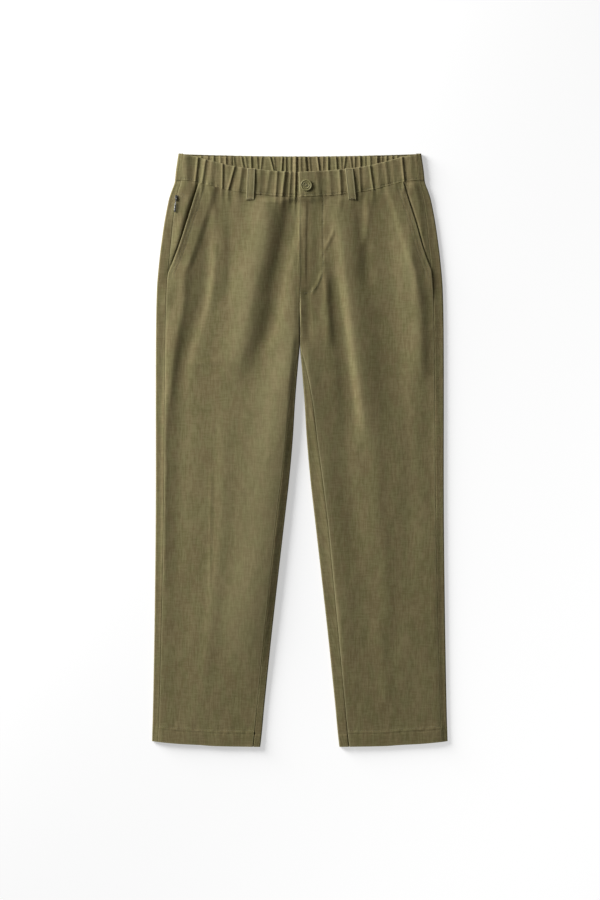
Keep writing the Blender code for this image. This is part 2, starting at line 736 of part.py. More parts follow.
def place_zip_piece(piece, pivot_height, turn_x=0.0):
    """Stand a piece, made about its own origin, on the side seam."""
    x = -side_seam(ZIP_DROP)
    base = loft(x, ZIP_DROP) + LAY_GAP
    piece.location = at_drop(x, ZIP_DROP, base + pivot_height)
    piece.rotation_euler = (Matrix.Rotation(ZIP_LEAN, 3, "Z") @ Matrix.Rotation(turn_x, 3, "X")).to_euler()


def make_zip(metal):
    body = bevelled(prism(slider_outline(), 2, SLIDER_THICK / 2), 0.0003, 2)
    bmesh.ops.translate(body, verts=body.verts, vec=(0, 0, SLIDER_THICK / 2))
    slider = add_object("zip_slider", body, metal, crease=radians(50))
    place_zip_piece(slider, 0)

    bail = add_object("zip_bail_shape", prism(bail_outline(), 0, BAIL_WIDTH / 2), metal)
    bail.hide_render = True
    bail.display_type = "WIRE"
    place_zip_piece(bail, 0)
    joined = slider.modifiers.new("Bail", "BOOLEAN")
    joined.operation = "UNION"
    joined.object = bail

    half, tip = TAB_WIDTH / 2, 0.0011
    eye_half = BAIL_WIDTH / 2 + BAIL_GAP
    bar = TAB_THICK / 2
    outer = [(-half, bar), (-half, -TAB_LENGTH + tip), (-half + tip, -TAB_LENGTH),
             (half - tip, -TAB_LENGTH), (half, -TAB_LENGTH + tip), (half, bar)]
    eye = [(-eye_half, -bar), (eye_half, -bar), (eye_half, -TAB_EYE), (-eye_half, -TAB_EYE)]
    tab = add_object("zip_tab", prism(outer, 2, TAB_THICK / 2), metal, crease=radians(50))
    place_zip_piece(tab, AXIS_HEIGHT, TAB_DROOP)
    cutter = add_object("zip_tab_eye_shape", prism(eye, 2, TAB_THICK), metal)
    cutter.hide_render = True
    cutter.display_type = "WIRE"
    place_zip_piece(cutter, AXIS_HEIGHT, TAB_DROOP)
    cut = tab.modifiers.new("Eye", "BOOLEAN")
    cut.operation = "DIFFERENCE"
    cut.object = cutter


# ---------------------------------------------------------------- the whole garment
def main():
    for old in list(bpy.data.objects):
        bpy.data.objects.remove(old)
    linen = material("linen", (0.150, 0.130, 0.065), 0.90)
    horn = material("button_horn", (0.115, 0.098, 0.052), 0.45)
    metal = material("zip_metal", (0.30, 0.28, 0.24), 0.35, metallic=1.0)
    make_panels(linen)
    make_waistband(linen)
    make_belt_loops(linen)
    make_button(horn)
    make_zip(metal)


main()
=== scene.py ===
# %% [markdown]
# # Linen trousers, laid flat
#
# A pair of olive linen trousers lies on a pale table with its front up. The cloth was cut into panels,
# and the panels were sewn into two tubes, which now lie almost empty. Each panel here is one fine grid of
# faces that is moved onto the form of the cloth and then given its thickness, because a sewn panel is one
# piece too.
#
# Two words give places on the garment. "drop" is the distance down from the waist edge, and "out" is the
# distance from the centre line, the same on both sides. A side is -1 (viewer's left) or +1. Tables are in
# millimetres, and everything else is in metres.

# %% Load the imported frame
import json
from collections import namedtuple
from functools import partial
from math import atan2, cos, pi, radians, sin

import bmesh
import bpy
import numpy as np
from mathutils import Matrix, Vector


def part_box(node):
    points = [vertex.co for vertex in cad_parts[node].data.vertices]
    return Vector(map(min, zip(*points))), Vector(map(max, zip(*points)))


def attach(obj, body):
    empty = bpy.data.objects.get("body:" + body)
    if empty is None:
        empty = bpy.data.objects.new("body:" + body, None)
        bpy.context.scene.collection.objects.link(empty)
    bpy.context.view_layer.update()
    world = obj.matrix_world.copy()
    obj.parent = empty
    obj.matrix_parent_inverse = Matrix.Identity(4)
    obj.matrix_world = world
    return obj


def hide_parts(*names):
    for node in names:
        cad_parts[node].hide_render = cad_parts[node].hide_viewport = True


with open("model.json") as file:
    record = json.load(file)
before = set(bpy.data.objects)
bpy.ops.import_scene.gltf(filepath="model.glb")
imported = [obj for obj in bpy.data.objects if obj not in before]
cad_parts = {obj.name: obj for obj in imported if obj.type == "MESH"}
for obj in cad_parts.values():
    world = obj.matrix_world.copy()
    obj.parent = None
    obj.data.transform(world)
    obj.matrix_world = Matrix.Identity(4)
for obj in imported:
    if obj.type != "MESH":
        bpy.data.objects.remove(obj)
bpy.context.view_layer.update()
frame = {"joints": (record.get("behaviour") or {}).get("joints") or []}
MM = 0.001

# %% [markdown]
# ## Shader maths
#
# A material is easier to read as an expression than as a web of nodes. One small class wraps a socket, so
# that `0.5 + 0.5 * wave` adds the Math nodes by itself. Colours go through Mix nodes, because Math would
# turn them grey.

# %% A socket that does sums


class Value:
    """One number of a material, which varies over the surface."""

    def __init__(self, shop, socket):
        self.shop = shop
        self.socket = socket

    def math(self, operation, *others):
        inputs = dict(enumerate((self, *others)))
        return self.shop.node("ShaderNodeMath", {"operation": operation}, inputs)

    def __add__(self, other):
        return self.math("ADD", other)

    __radd__ = __add__

    def __mul__(self, other):
        return self.math("MULTIPLY", other)

    __rmul__ = __mul__

    def __sub__(self, other):
        return self.math("SUBTRACT", other)

    def __rsub__(self, other):
        return (self * -1.0) + other


class Workshop:
    """Builds one material's nodes."""

    def __init__(self, name):
        self.material = bpy.data.materials.new(name)
        self.material.use_nodes = True
        self.nodes = self.material.node_tree.nodes
        self.links = self.material.node_tree.links
        self.shader = self.nodes["Principled BSDF"]

    def node(self, kind, settings=None, inputs=None, output=0):
        """Add a node: its settings first, then a value or a link for each named or numbered socket."""
        made = self.nodes.new(kind)
        for name, setting in (settings or {}).items():
            setattr(made, name, setting)
        for name, given in (inputs or {}).items():
            self.feed(made.inputs[name], given)
        return Value(self, made.outputs[output])

    def feed(self, socket, given):
        if isinstance(given, Value):
            self.links.new(given.socket, socket)
        else:
            socket.default_value = given

    def set(self, **inputs):
        """Set the main shader's sockets. An underscore in a name stands for a space."""
        for name, given in inputs.items():
            self.feed(self.shader.inputs[name.replace("_", " ")], given)

    def mix_colours(self, share, *colours):
        """Blend two colours, each a value or three numbers."""
        first, second = ((*colour, 1.0) if isinstance(colour, tuple) else colour for colour in colours)
        return self.node("ShaderNodeMix", {"data_type": "RGBA"}, {0: share, 6: first, 7: second}, output=2)

    def smooth_step(self, value, low, high):
        settings = {"interpolation_type": "SMOOTHSTEP"}
        return self.node("ShaderNodeMapRange", settings, {0: value, 1: low, 2: high})

    def place(self):
        """Each point's place on the finished object."""
        return self.node("ShaderNodeTexCoord", output=3)

    def noise(self, place, scale=1.0, detail=2.0, **others):
        inputs = {"Vector": place, "Scale": scale, "Detail": detail, **others}
        return self.node("ShaderNodeTexNoise", inputs=inputs)

    def bump(self, height):
        return self.node("ShaderNodeBump", inputs={"Strength": 1.0, "Distance": 1.0, "Height": height})


# %% [markdown]
# ## Objects and meshes
#
# Everything in the scene is an object with data under it, and most of its meshes are first built as a
# bmesh.

# %% Two helpers


def add_object(name, data):
    thing = bpy.data.objects.new(name, data)
    bpy.context.collection.objects.link(thing)
    return thing


def finished_mesh(name, bm):
    """Turn a bmesh into a mesh, and free it."""
    mesh = bpy.data.meshes.new(name)
    bm.to_mesh(mesh)
    bm.free()
    return mesh


# %% [markdown]
# ## Camera, table and light
#
# The trousers are seen straight down. A camera high above them with a long lens keeps the legs parallel,
# as an orthographic one would, and it still behaves as a real camera in every other view.

# %% Camera
PICTURE_LONG_SIDE = 1.5235  # height of the view at the cloth
CAMERA_HEIGHT = 3.5
SENSOR = 36.0
VIEW_CENTRE = Vector((0.0003, 0.0004, 0.006))


def add_camera():
    lens = bpy.data.cameras.new("straight_down")
    lens.sensor_width = SENSOR
    lens.lens = SENSOR * CAMERA_HEIGHT / PICTURE_LONG_SIDE
    lens.clip_end = 50.0
    camera = add_object("straight_down", lens)
    camera.location = VIEW_CENTRE + Vector((0, 0, CAMERA_HEIGHT))
    bpy.context.scene.camera = camera
    return lens.lens


print("lens:", round(add_camera(), 1), "mm")

# %% [markdown]
# A soft box stands low to the upper left. Low light is what shows cloth: it skims the folds, so that each
# ridge has a light and a dark side. The paper under the trousers is bright enough to come out white, and
# it glows a little, a painted light that keeps the shadow beside the cloth soft and pale, and glows more
# where the lamp's light is weaker.

# %% Light and table
BOX_SIZE = 2.0
BOX_PLACE = Vector((-3.15, 2.15, 1.16))  # it is turned to the middle of the garment
BOX_POWER = 425.0
ROOM_LIGHT = 0.16
TABLE_SIZE = 14.0
TABLE_DEPTH = 0.0003  # how far the table is under the cloth
TABLE_SHADE = (0.62, 0.62, 0.62, 1.0)  # of the paper
TABLE_GLOW = (0.42, 0.63)  # near the lamp and far from it, where less of its light comes
GLOW_WAY = (0.826, -0.563, 0.0)  # away from the lamp
GLOW_RUN = (-0.2, 0.9)


def add_light():
    box = bpy.data.lights.new("soft_box", "AREA")
    box.shape = "SQUARE"
    box.size = BOX_SIZE
    box.energy = BOX_POWER
    lamp = add_object("soft_box", box)
    lamp.location = BOX_PLACE
    lamp.rotation_euler = (-BOX_PLACE).to_track_quat("-Z", "Y").to_euler()
    world = bpy.data.worlds.new("room")
    world.use_nodes = True
    background = world.node_tree.nodes["Background"].inputs
    background["Color"].default_value = (1.0, 1.0, 1.0, 1.0)
    background["Strength"].default_value = ROOM_LIGHT
    bpy.context.scene.world = world
    bpy.context.scene.view_settings.view_transform = "Standard"


def white_paper():
    """Paper that glows a little more where the lamp's light is weaker."""
    shop = Workshop("white_paper")
    away = shop.node("ShaderNodeVectorMath", {"operation": "DOT_PRODUCT"}, {0: shop.place(), 1: GLOW_WAY},
                     output=1)
    near, far = ((strength,) * 3 for strength in TABLE_GLOW)
    glow = shop.mix_colours(shop.smooth_step(away, *GLOW_RUN), near, far)
    shop.set(Base_Color=TABLE_SHADE, Roughness=0.95, Specular_IOR_Level=0.1,
             Emission_Color=glow, Emission_Strength=1.0)
    return shop.material


def add_table():
    bm = bmesh.new()
    bmesh.ops.create_grid(bm, x_segments=1, y_segments=1, size=TABLE_SIZE / 2)
    bmesh.ops.translate(bm, verts=bm.verts, vec=(0, 0, -TABLE_DEPTH))
    mesh = finished_mesh("table", bm)
    mesh.materials.append(white_paper())
    table = add_object("table", mesh)


add_light()
add_table()

# %% [markdown]
# ## Linen
#
# Linen is spun from long flax fibres, so its threads are uneven: thick stretches, called slubs, run along
# the warp and along the weft and catch the dye a little differently. Garment dyeing and washing leave a
# soft mottle, and sewn edges paler where they are rubbed. The cloth is also painted paler where it
# stands proud, on ridges and on the crests of pleats and gathers: a painted highlight, partly rubbed wear.
# The weave itself is two sets of threads, one over and one under: the cosine of each direction gives a
# thread's round back, and their product says which one is on top. A little of that goes into the colour,
# as painted shade between the threads.
#
# The pattern has to follow the cloth round its folds, so it is read from an attribute, "cloth", in which
# each point keeps its place on the flat panel in metres. A second attribute says how much paler each
# point is painted: 1 on rubbed edges, and it also carries the painted highlight on raised cloth and on
# the edges of the right front and the right band that face the lamp.

# %% Linen material
THREAD_PITCH = 0.55 * MM
THREAD_RELIEF = 0.05 * MM
SLUB_RELIEF = 0.18 * MM
LINEN_DARK = (0.124, 0.101, 0.041)
LINEN_LIGHT = (0.196, 0.168, 0.080)
# pale colour of rubbed edges, and of the painted highlight on raised cloth
LINEN_WORN_AND_HIGHLIGHT = (0.255, 0.226, 0.116)
LINEN_BROWN = (0.178, 0.135, 0.066)
LINEN_GREEN = (0.146, 0.138, 0.056)
LINEN_SHEEN = (0.80, 0.80, 0.62, 1.0)


def linen(name, grain=1.0):
    """A grain above 1 makes the mottle finer, for narrow pieces."""
    shop = Workshop(name)
    cloth_place = shop.node("ShaderNodeAttribute", {"attribute_name": "cloth"}, output=1)
    # how much paler each point is painted: rubbed wear, and painted highlight on raised cloth
    wear_and_highlight = shop.node("ShaderNodeAttribute", {"attribute_name": "wear_and_highlight"}, output=2)
    across = shop.node("ShaderNodeSeparateXYZ", inputs={0: cloth_place})
    down = Value(shop, across.socket.node.outputs[1])

    def noise_at(across_rate, down_rate, detail, seed):
        place = shop.node("ShaderNodeCombineXYZ",
                          inputs={0: across * across_rate, 1: down * down_rate, 2: seed})
        return shop.noise(place, detail=detail, Roughness=0.55)

    warp_slub = noise_at(850.0, 55.0, 2.0, 3.0)
    weft_slub = noise_at(75.0, 780.0, 2.0, 7.0)
    warp_streak = noise_at(400.0, 42.0, 2.0, 23.0)
    weft_streak = noise_at(60.0, 360.0, 2.0, 29.0)
    hue = noise_at(52.0, 24.0, 2.0, 37.0)
    mottle = noise_at(70.0 * grain, 38.0 * grain, 3.0, 11.0)
    patches = noise_at(13.0, 7.0, 1.0, 17.0)

    bend = 2.2 * (mottle - 0.5)
    warp_wave = (across * (pi / THREAD_PITCH) + bend).math("COSINE")
    weft_wave = (down * (pi / THREAD_PITCH) + bend).math("COSINE")
    crossing = warp_wave * weft_wave
    warp_top = warp_wave.math("ABSOLUTE") + crossing
    weft_top = weft_wave.math("ABSOLUTE") - crossing
    weave = 0.5 * warp_top.math("MAXIMUM", weft_top)

    slubs = 0.55 * warp_slub + 0.45 * weft_slub
    streaks = 0.6 * warp_streak + 0.4 * weft_streak
    # the weave's small term paints a little shade between the threads into the colour
    shade = 1.55 * slubs + 3.00 * streaks + 0.50 * mottle + 0.50 * patches + 0.04 * weave - 2.30
    plain = shop.mix_colours(shop.smooth_step(shade, 0.10, 0.90), LINEN_DARK, LINEN_LIGHT)
    tinted = shop.mix_colours(shop.smooth_step(hue, 0.38, 0.62), LINEN_GREEN, LINEN_BROWN)
    body = shop.mix_colours(0.34, plain, tinted)
    # the pale colour goes on as rubbed wear and as a painted highlight
    highlight_and_wear = (wear_and_highlight * (0.45 + 0.75 * slubs)).math("MINIMUM", 1.0)
    colour = shop.mix_colours(highlight_and_wear, body, LINEN_WORN_AND_HIGHLIGHT)

    relief = weave * THREAD_RELIEF + slubs * SLUB_RELIEF
    shop.set(Base_Color=colour, Roughness=0.95 - 0.14 * slubs, Normal=shop.bump(relief),
             Specular_IOR_Level=0.22, Sheen_Weight=0.10, Sheen_Roughness=0.45, Sheen_Tint=LINEN_SHEEN)
    return shop.material


linen_panels = linen("linen_panels")
linen_narrow = linen("linen_narrow", grain=1.6)
print("linen:", len(linen_panels.node_tree.nodes), "nodes")

# %% [markdown]
# ## The outline of the trousers
#
# The outline is a few measured widths down the leg, with a smooth curve through them, as a cutter's
# pattern has. These tables and the functions below them say where the folds, the seams and the hem run.
# Every panel, every stitch row and the zip read them, so that all the pieces meet.

# %% Smooth steps, bells and curves through a table


def ease(t):
    """Go smoothly from 0 at t = 0 to 1 at t = 1."""
    t = np.clip(t, 0.0, 1.0)
    return t * t * (3.0 - 2.0 * t)


def mix(first, second, share):
    return first + (second - first) * share


def bell(distance, width):
    """1 in the middle, and soft on either side."""
    return np.exp(-(distance / width) ** 2)


def curve(places, values, at):
    """A smooth curve through the values, read at any places."""
    places, values = np.asarray(places, float), np.asarray(values, float)
    slopes = np.gradient(values) / np.gradient(places)
    at = np.clip(at, places[0], places[-1])
    low = np.clip(np.searchsorted(places, at, side="right") - 1, 0, len(places) - 2)
    span = places[low + 1] - places[low]
    t = (at - places[low]) / span
    rise = values[low] * (1 + 2 * t) * (1 - t) ** 2 + values[low + 1] * t * t * (3 - 2 * t)
    return rise + span * t * (1 - t) * (slopes[low] * (1 - t) - slopes[low + 1] * t)


def along(table, column, at):
    """Read one column of a table in millimetres at any place in metres."""
    return curve([row[0] * MM for row in table], [getattr(row, column) * MM for row in table], at)


# %% Widths of the legs, in millimetres
LENGTH = 1.0047
CROTCH_DROP = 0.325
SLIT_DROP = 0.210  # where the centre seam starts to sink between the legs
SEAM_GAP = 0.00003  # between two pieces that are sewn together

Side = namedtuple("Side", "drop out strip")
SIDE_FOLD = [Side(*row) for row in (
    # how far out the side fold is, and how much of the back panel shows beside it
    (0, 205.7, 8.5), (29, 210, 9.5), (49, 212.3, 10.5), (63, 217.4, 11.5), (77, 221.9, 12.5),
    (111, 228.7, 14.5), (145, 233.8, 16.2), (179, 238, 17), (230, 242.3, 16.8), (332, 244, 16),
    (587, 244.1, 14), (757, 245.7, 12.5), (927, 248.6, 11), (1004.7, 250.8, 10),
)]

InsideLeg = namedtuple("InsideLeg", "drop out left_strip right_strip")
INSIDE_FOLD = [InsideLeg(*row) for row in (
    # the inside-leg fold, and how far along the cloth the seam lies beyond it on each leg
    (325, 0, 0, 0), (337, 0.9, 2.2, 3.2), (352, 2.4, 4.6, 6.5), (417, 7.7, 10.2, 14.7),
    (485, 11.9, 13.5, 19.2), (553, 18, 15, 22.1), (621, 25.7, 15.6, 22.9), (689, 33.5, 15, 21.6),
    (757, 41.2, 14.1, 20.3), (825, 48.7, 13.9, 19.3), (961, 62.8, 13.2, 17.8), (1004.7, 68.2, 12.6, 17),
)]

# %% The band seam, the hem and the pocket mouths
BandSeam = namedtuple("BandSeam", "out drop")
BAND_SEAM = [BandSeam(*row) for row in (
    # the seam under the front band, which sags at the middle
    (0, 74.4), (51, 71.6), (76, 69), (102, 65.9), (122, 62.2), (140, 57.8), (158, 53), (177, 48.2),
    (206, 45),
)]

Hem = namedtuple("Hem", "out drop")
HEM = [Hem(*row) for row in (
    (68, 1004.7), (145, 1003.3), (170, 1001.5), (207, 999.5), (241, 996.3), (251, 995),
)]

Slant = namedtuple("Slant", "drop left right")
POCKET_SLANT = [Slant(*row) for row in (
    (44, 169, 173.2), (85, 181.5, 186.2), (119, 192.3, 197.2), (153, 203.4, 206.6), (187, 216.5, 218.5),
    (215, 229, 231),
)]
POCKET_END = 0.215
POCKET_UNDER = 0.018  # how far the pocket facing runs under the front

TONGUE = 0.020  # how far the left front runs on under the fly
FLY_TURN = 0.175  # where the tongue starts to narrow
FLY_END = 0.232  # where it has ended
FLY_LAP_END = 0.250  # where the right front starts to come down from it


def side_out(drop):
    return along(SIDE_FOLD, "out", drop)


def side_seam(drop):
    """Where the side seam runs on the front."""
    return side_out(drop) - along(SIDE_FOLD, "strip", drop)


def tongue(drop):
    """How far the left front runs on under the fly."""
    return TONGUE * (1 - ease((drop - FLY_TURN) / (FLY_END - FLY_TURN)))


def inside_fold(drop):
    return along(INSIDE_FOLD, "out", drop) * (drop > CROTCH_DROP)


def inside_out(side, drop):
    """The inner limit of a leg: its inside fold, or above it the centre line and the fly tongue."""
    under_fly = tongue(drop) * (drop <= CROTCH_DROP) if side < 0 else 0.0
    return inside_fold(drop) + SEAM_GAP / 2 - under_fly


def inside_strip(side, drop):
    return along(INSIDE_FOLD, "left_strip" if side < 0 else "right_strip", drop)


def slit(drop):
    """How far the centre seam has sunk between the legs: 0 above, 1 where they part."""
    return ease((drop - SLIT_DROP) / (CROTCH_DROP - SLIT_DROP))


def pocket_mouth(side, drop):
    """The front's outer edge: the slant of the pocket, and below it the side seam."""
    slant = along(POCKET_SLANT, "left" if side < 0 else "right", drop)
    seam = side_seam(drop) - SEAM_GAP
    return np.where(drop > POCKET_END, seam, np.minimum(slant, seam))


def band_seam(x):
    return along(BAND_SEAM, "drop", np.abs(x))


def hem_edge(out):
    return along(HEM, "drop", out)


SEAM_FADE = 0.100  # how far down the rows still follow the band seam
HEM_FADE = 0.080
TOP_LEVEL = float(band_seam(0.0))


def true_drop(level, out, waist_out):
    """Bend a level row to follow the band seam at the top and the hem at the bottom."""
    sag = TOP_LEVEL - band_seam(waist_out) - SEAM_GAP
    at_top = 1 - ease((level - TOP_LEVEL) / SEAM_FADE)
    at_hem = ease(1 - (LENGTH - level) / HEM_FADE)
    return level - sag * at_top - (LENGTH - hem_edge(out)) * at_hem


print("waist", round(2 * float(side_out(0.0)) / MM), "mm, hem",
      round(float(side_out(1.0) - inside_fold(1.0)) / MM), "mm, both flat")

# %% [markdown]
# ## Creases
#
# A crease in cloth is long, soft and seldom straight, and one side of it is steeper than the other. Each
# one here is a row of a table: a spine of a few points, a half width on either side, and a height, above
# 0 for a ridge and below 0 for a trough. A bell curve across the spine gives the shape, and it fades out
# at both ends. Neighbouring ridges and troughs overlap, so that their slopes run into each other as they
# do in real cloth.

# %% Crease shape
Crease = namedtuple("Crease", "spine left right height")
CREASE_FADE = 0.25  # share of a crease's length over which each end fades


def crease_height(crease, x, drop):
    """Height that one crease adds at each point."""
    spine = np.array(crease.spine) * MM
    start, chord = spine[0], spine[-1] - spine[0]
    length = np.hypot(*chord)
    down = chord / length
    across = np.array((down[1], -down[0]))
    spine_share = (spine - start) @ down / length
    spine_side = (spine - start) @ across
    share = ((x - start[0]) * down[0] + (drop - start[1]) * down[1]) / length
    side = (x - start[0]) * across[0] + (drop - start[1]) * across[1]
    away = side - curve(spine_share, spine_side, share)
    width = np.where(away < 0, crease.left, crease.right) * MM
    strength = ease(np.minimum(share, 1 - share) / CREASE_FADE) * crease.height * MM
    return strength * bell(away, width)


def crease_heights(creases, x, drop):
    return sum(crease_height(crease, x, drop) for crease in creases)


# %% Creases of the two fronts, in millimetres: (x, drop) points, half widths, height
FRONT_CREASES = [
    # left leg, from the side inwards
    Crease(((-177, 50), (-182, 78), (-194, 121), (-206, 160), (-218, 200)), 14, 7, 1.6),
    Crease(((-183, 130), (-184, 163), (-189, 205), (-196, 247), (-205, 290), (-212, 332), (-218, 383),
            (-222, 434), (-226, 480)), 13, 8, 1.8),
    Crease(((-226, 380), (-228, 480), (-229, 560), (-230, 640), (-231, 760)), 5, 6, 0.9),
    Crease(((-154, 60), (-153, 110), (-153, 145), (-154, 163), (-157, 205), (-164, 247), (-177, 290),
            (-190, 332), (-199, 383), (-203, 430)), 13, 10, -2.9),
    Crease(((-196, 350), (-200, 420), (-202, 500), (-205, 560), (-207, 640), (-208, 760)), 14, 18, -1.5),
    Crease(((-146, 40), (-148, 110), (-149, 140), (-147, 165), (-146, 200), (-148, 232), (-158, 285)),
            11, 8, 1.4),
    Crease(((-122, 80), (-117, 150), (-119, 195), (-121, 228), (-132, 275)), 9, 12, -1.2),
    Crease(((-46, 20), (-57, 118), (-62, 152), (-72, 195), (-79, 228), (-84, 262), (-91, 305),
            (-101, 347), (-116, 410)), 27, 21, 4.8),
    Crease(((-6, 30), (-8, 78), (-14, 118), (-23, 152), (-33, 195), (-38, 228), (-42, 262), (-53, 305),
            (-72, 347), (-77, 358)), 15, 13, -3.9),
    Crease(((-7, 40), (-9, 90), (-12, 125), (-17, 165)), 12, 5, -2.3),
    Crease(((-4, 130), (-8, 205), (-10, 247), (-11, 290), (-13, 332), (-19, 383), (-27, 440)),
            20, 8, 1.2),
    Crease(((-8, 200), (-10, 290), (-12, 332), (-18, 383), (-25, 434), (-33, 484), (-42, 552), (-51, 620),
            (-62, 688), (-72, 755), (-82, 823), (-92, 891), (-103, 958)), 42, 38, 5.4),
    Crease(((-96, 300), (-98, 434), (-100, 484), (-101, 552), (-103, 620), (-108, 688), (-116, 755),
            (-122, 823), (-130, 900)), 46, 80, 2.5),
    Crease(((-150, 515), (-151, 600), (-152, 700), (-152, 770)), 2.6, 2.6, 0.4),
    Crease(((-128, 400), (-129, 480), (-130, 552), (-132, 620), (-138, 688), (-146, 755), (-153, 823),
            (-162, 891), (-170, 960)), 11, 14, 1.1),
    Crease(((-14, 340), (-20, 383), (-27, 434), (-35, 484), (-44, 540)), 28, 30, 1.4),
    Crease(((-205, 700), (-204, 800), (-202, 980)), 32, 24, -1.2),
    # right leg, from the fly outwards
    Crease(((45, 190), (47, 215), (48, 252), (49, 290), (50, 335)), 9, 8, 1.6),
    Crease(((24, 40), (26, 120), (27, 170), (24, 240)), 14, 13, -1.5),
    Crease(((13, 215), (13, 250), (14, 290), (19, 332)), 9, 8, -1.3),
    Crease(((14, 290), (16, 332), (19, 383), (23, 434), (30, 484), (40, 552), (48, 620), (58, 688),
            (66, 755), (74, 830), (80, 960)), 8, 27, 2.0),
    Crease(((50, 165), (57, 205), (63, 247), (70, 290), (77, 332), (83, 383), (87, 434), (90, 500)),
            15, 11, -4.2),
    Crease(((99, 50), (105, 100), (111, 150), (116, 200), (120, 250)), 13, 10, -1.8),
    Crease(((72, 340), (76, 398), (80, 449), (82, 550), (94, 618), (104, 730)), 22, 14, -1.3),
    Crease(((57, 40), (64, 90), (68, 121), (76, 163), (80, 205), (85, 247), (90, 290), (93, 332),
            (100, 383), (109, 434), (119, 484), (130, 540)), 13, 30, 3.9),
    Crease(((128, 440), (131, 550), (133, 618), (142, 686), (146, 753), (153, 860)), 18, 14, 1.1),
    Crease(((142, 40), (143, 118), (145, 152), (148, 195), (152, 228), (155, 262), (158, 305), (161, 347),
            (167, 398), (172, 449), (178, 500)), 32, 17, -3.0),
    Crease(((176, 420), (184, 500), (188, 560), (187, 640), (186, 780)), 20, 14, -0.9),
    Crease(((112, 60), (114, 110), (108, 165)), 6, 6, 1.2),
    Crease(((181, 110), (185, 152), (190, 195), (197, 228), (202, 262), (204, 305), (204, 347),
            (207, 410)), 16, 12, 3.3),
    Crease(((128, 760), (140, 850), (150, 950)), 14, 12, 0.9),
    # small and crisp ones
    Crease(((-207, 352), (-170, 355), (-126, 349)), 5, 4, 0.6),
    Crease(((61, 124), (51, 145), (41, 165)), 1.8, 1.8, 1.1),
    Crease(((38, 145), (40, 195), (43, 215), (44, 245), (42, 272)), 3.2, 7.0, 0.6),
    Crease(((-0.6, 50), (-0.7, 120), (-1.0, 190), (-0.8, 262)), 2.2, 1.8, 0.7),
    Crease(((221, 380), (222, 480), (222, 560), (221, 650)), 22, 12, -1.3),
    Crease(((-210, 92), (-216, 121), (-221, 163), (-226, 205), (-232, 250)), 14, 10, -2.1),
    Crease(((-229, 240), (-233, 300), (-235, 360), (-236, 440)), 12, 9, -1.8),
    Crease(((40, 197), (32, 216), (24, 230), (15, 243)), 1.8, 2.2, 1.0),
    Crease(((14, 66), (14, 95), (13, 130), (12, 232)), 2.2, 6.0, -0.8),
]

# %% [markdown]
# Under the crease sits a finer unevenness. Linen never lies quite flat, so a smooth random surface is
# laid over the panels at two sizes. It comes from a table of seeded random numbers, blended from point to
# point, so that each run of the script makes the same cloth.

# %% Fine crumple
HILLS = 64
SKEW = 0.25  # the crumple runs a little aslant
CRUMPLES = (
    # width, length, height, seed
    (0.030, 0.060, 0.26 * MM, 1), (0.011, 0.022, 0.10 * MM, 2), (0.006, 0.013, 0.055 * MM, 3),
)


def hills(across, down, seed):
    """Smooth random heights from -1 to 1, one hill in each unit square."""
    heights = np.random.default_rng(seed).uniform(-1.0, 1.0, (HILLS, HILLS))
    column, row = np.floor(across).astype(int), np.floor(down).astype(int)
    right, lower = ease(across - column), ease(down - row)

    def corner(step_across, step_down):
        return heights[(column + step_across) % HILLS, (row + step_down) % HILLS]

    upper_edge = mix(corner(0, 0), corner(1, 0), right)
    return mix(upper_edge, mix(corner(0, 1), corner(1, 1), right), lower)


def crumple(x, drop):
    across, down = x + SKEW * drop, drop - SKEW * x
    return sum(height * hills(across / width, down / length, seed)
               for width, length, height, seed in CRUMPLES)


# %% [markdown]
# ## Pleats of the waistband
#
# The band holds elastic. Where it pulls in, the band's cloth stands up in little pleats, each a narrow
# ridge with a shallow valley on its right, and the panel below is drawn into furrows that run out after a
# few centimetres. The same table serves both. A pleat's softness says how many times wider it is than a
# crisp one.

# %% Pleats of the front band, in millimetres
Pleat = namedtuple("Pleat", "top bottom depth soft")  # its place at the top edge and at the seam
PLEATS = [Pleat(*row) for row in (
    (-188, -187, 1.9, 4.2), (-170.7, -175.6, 1.7, 1.1), (-157.8, -164.1, 1.3, 1.2),
    (-145, -148, 0.6, 2.2), (-129.5, -130.1, 1.3, 0.9), (-108.8, -119.9, 1.6, 1.1), (-95, -101, 1, 1.8),
    (-64, -66, 0.8, 2.2), (-48.5, -55.3, 0.8, 1.8), (-36.6, -39.1, 1.1, 1.2), (-23, -28.1, 2, 1.4),
    (-14, -17, 0.9, 0.9), (-6.4, -7, 1.9, 0.8), (32, 37, 0.7, 2.4), (52, 55, 0.7, 2), (69, 72, 1.4, 1.5),
    (101.8, 104.5, 0.9, 1.1), (119.7, 125.6, 1.5, 1), (135, 138, 0.6, 2.4), (147, 152, 1, 1.9),
    (159, 164, 0.7, 2.2), (173.9, 178.2, 1.8, 1), (190, 193, 0.6, 2.2),
)]
RIDGE_WIDTH = 1.9 * MM  # half widths of a crisp pleat
VALLEY_WIDTH = 3.2 * MM
RIDGE_PLACE = 0.7  # of the ridge, left of the pleat's dark side, as a share of its width
VALLEY_PLACE = 3.0 * MM  # of the valley, right of the dark side
RIDGE_SHARE = 0.62
VALLEY_SHARE = 0.38
PLEAT_DEPTH = 1.25  # times the depths of the table
FURROW_DEPTH = 0.7
FURROW_LENGTH = 0.045
FURROW_WIDEN = (1.2, 3.0)  # at the seam, and where a furrow ends


def pleat_shape(away, depth, widen):
    """A narrow ridge with a shallow valley on its right. away is 0 on the ridge's dark side."""
    ridge = bell(away + RIDGE_PLACE * RIDGE_WIDTH * widen, RIDGE_WIDTH * widen)
    valley = bell(away - VALLEY_PLACE * widen, VALLEY_WIDTH * widen)
    return depth * (RIDGE_SHARE * ridge - VALLEY_SHARE * valley)


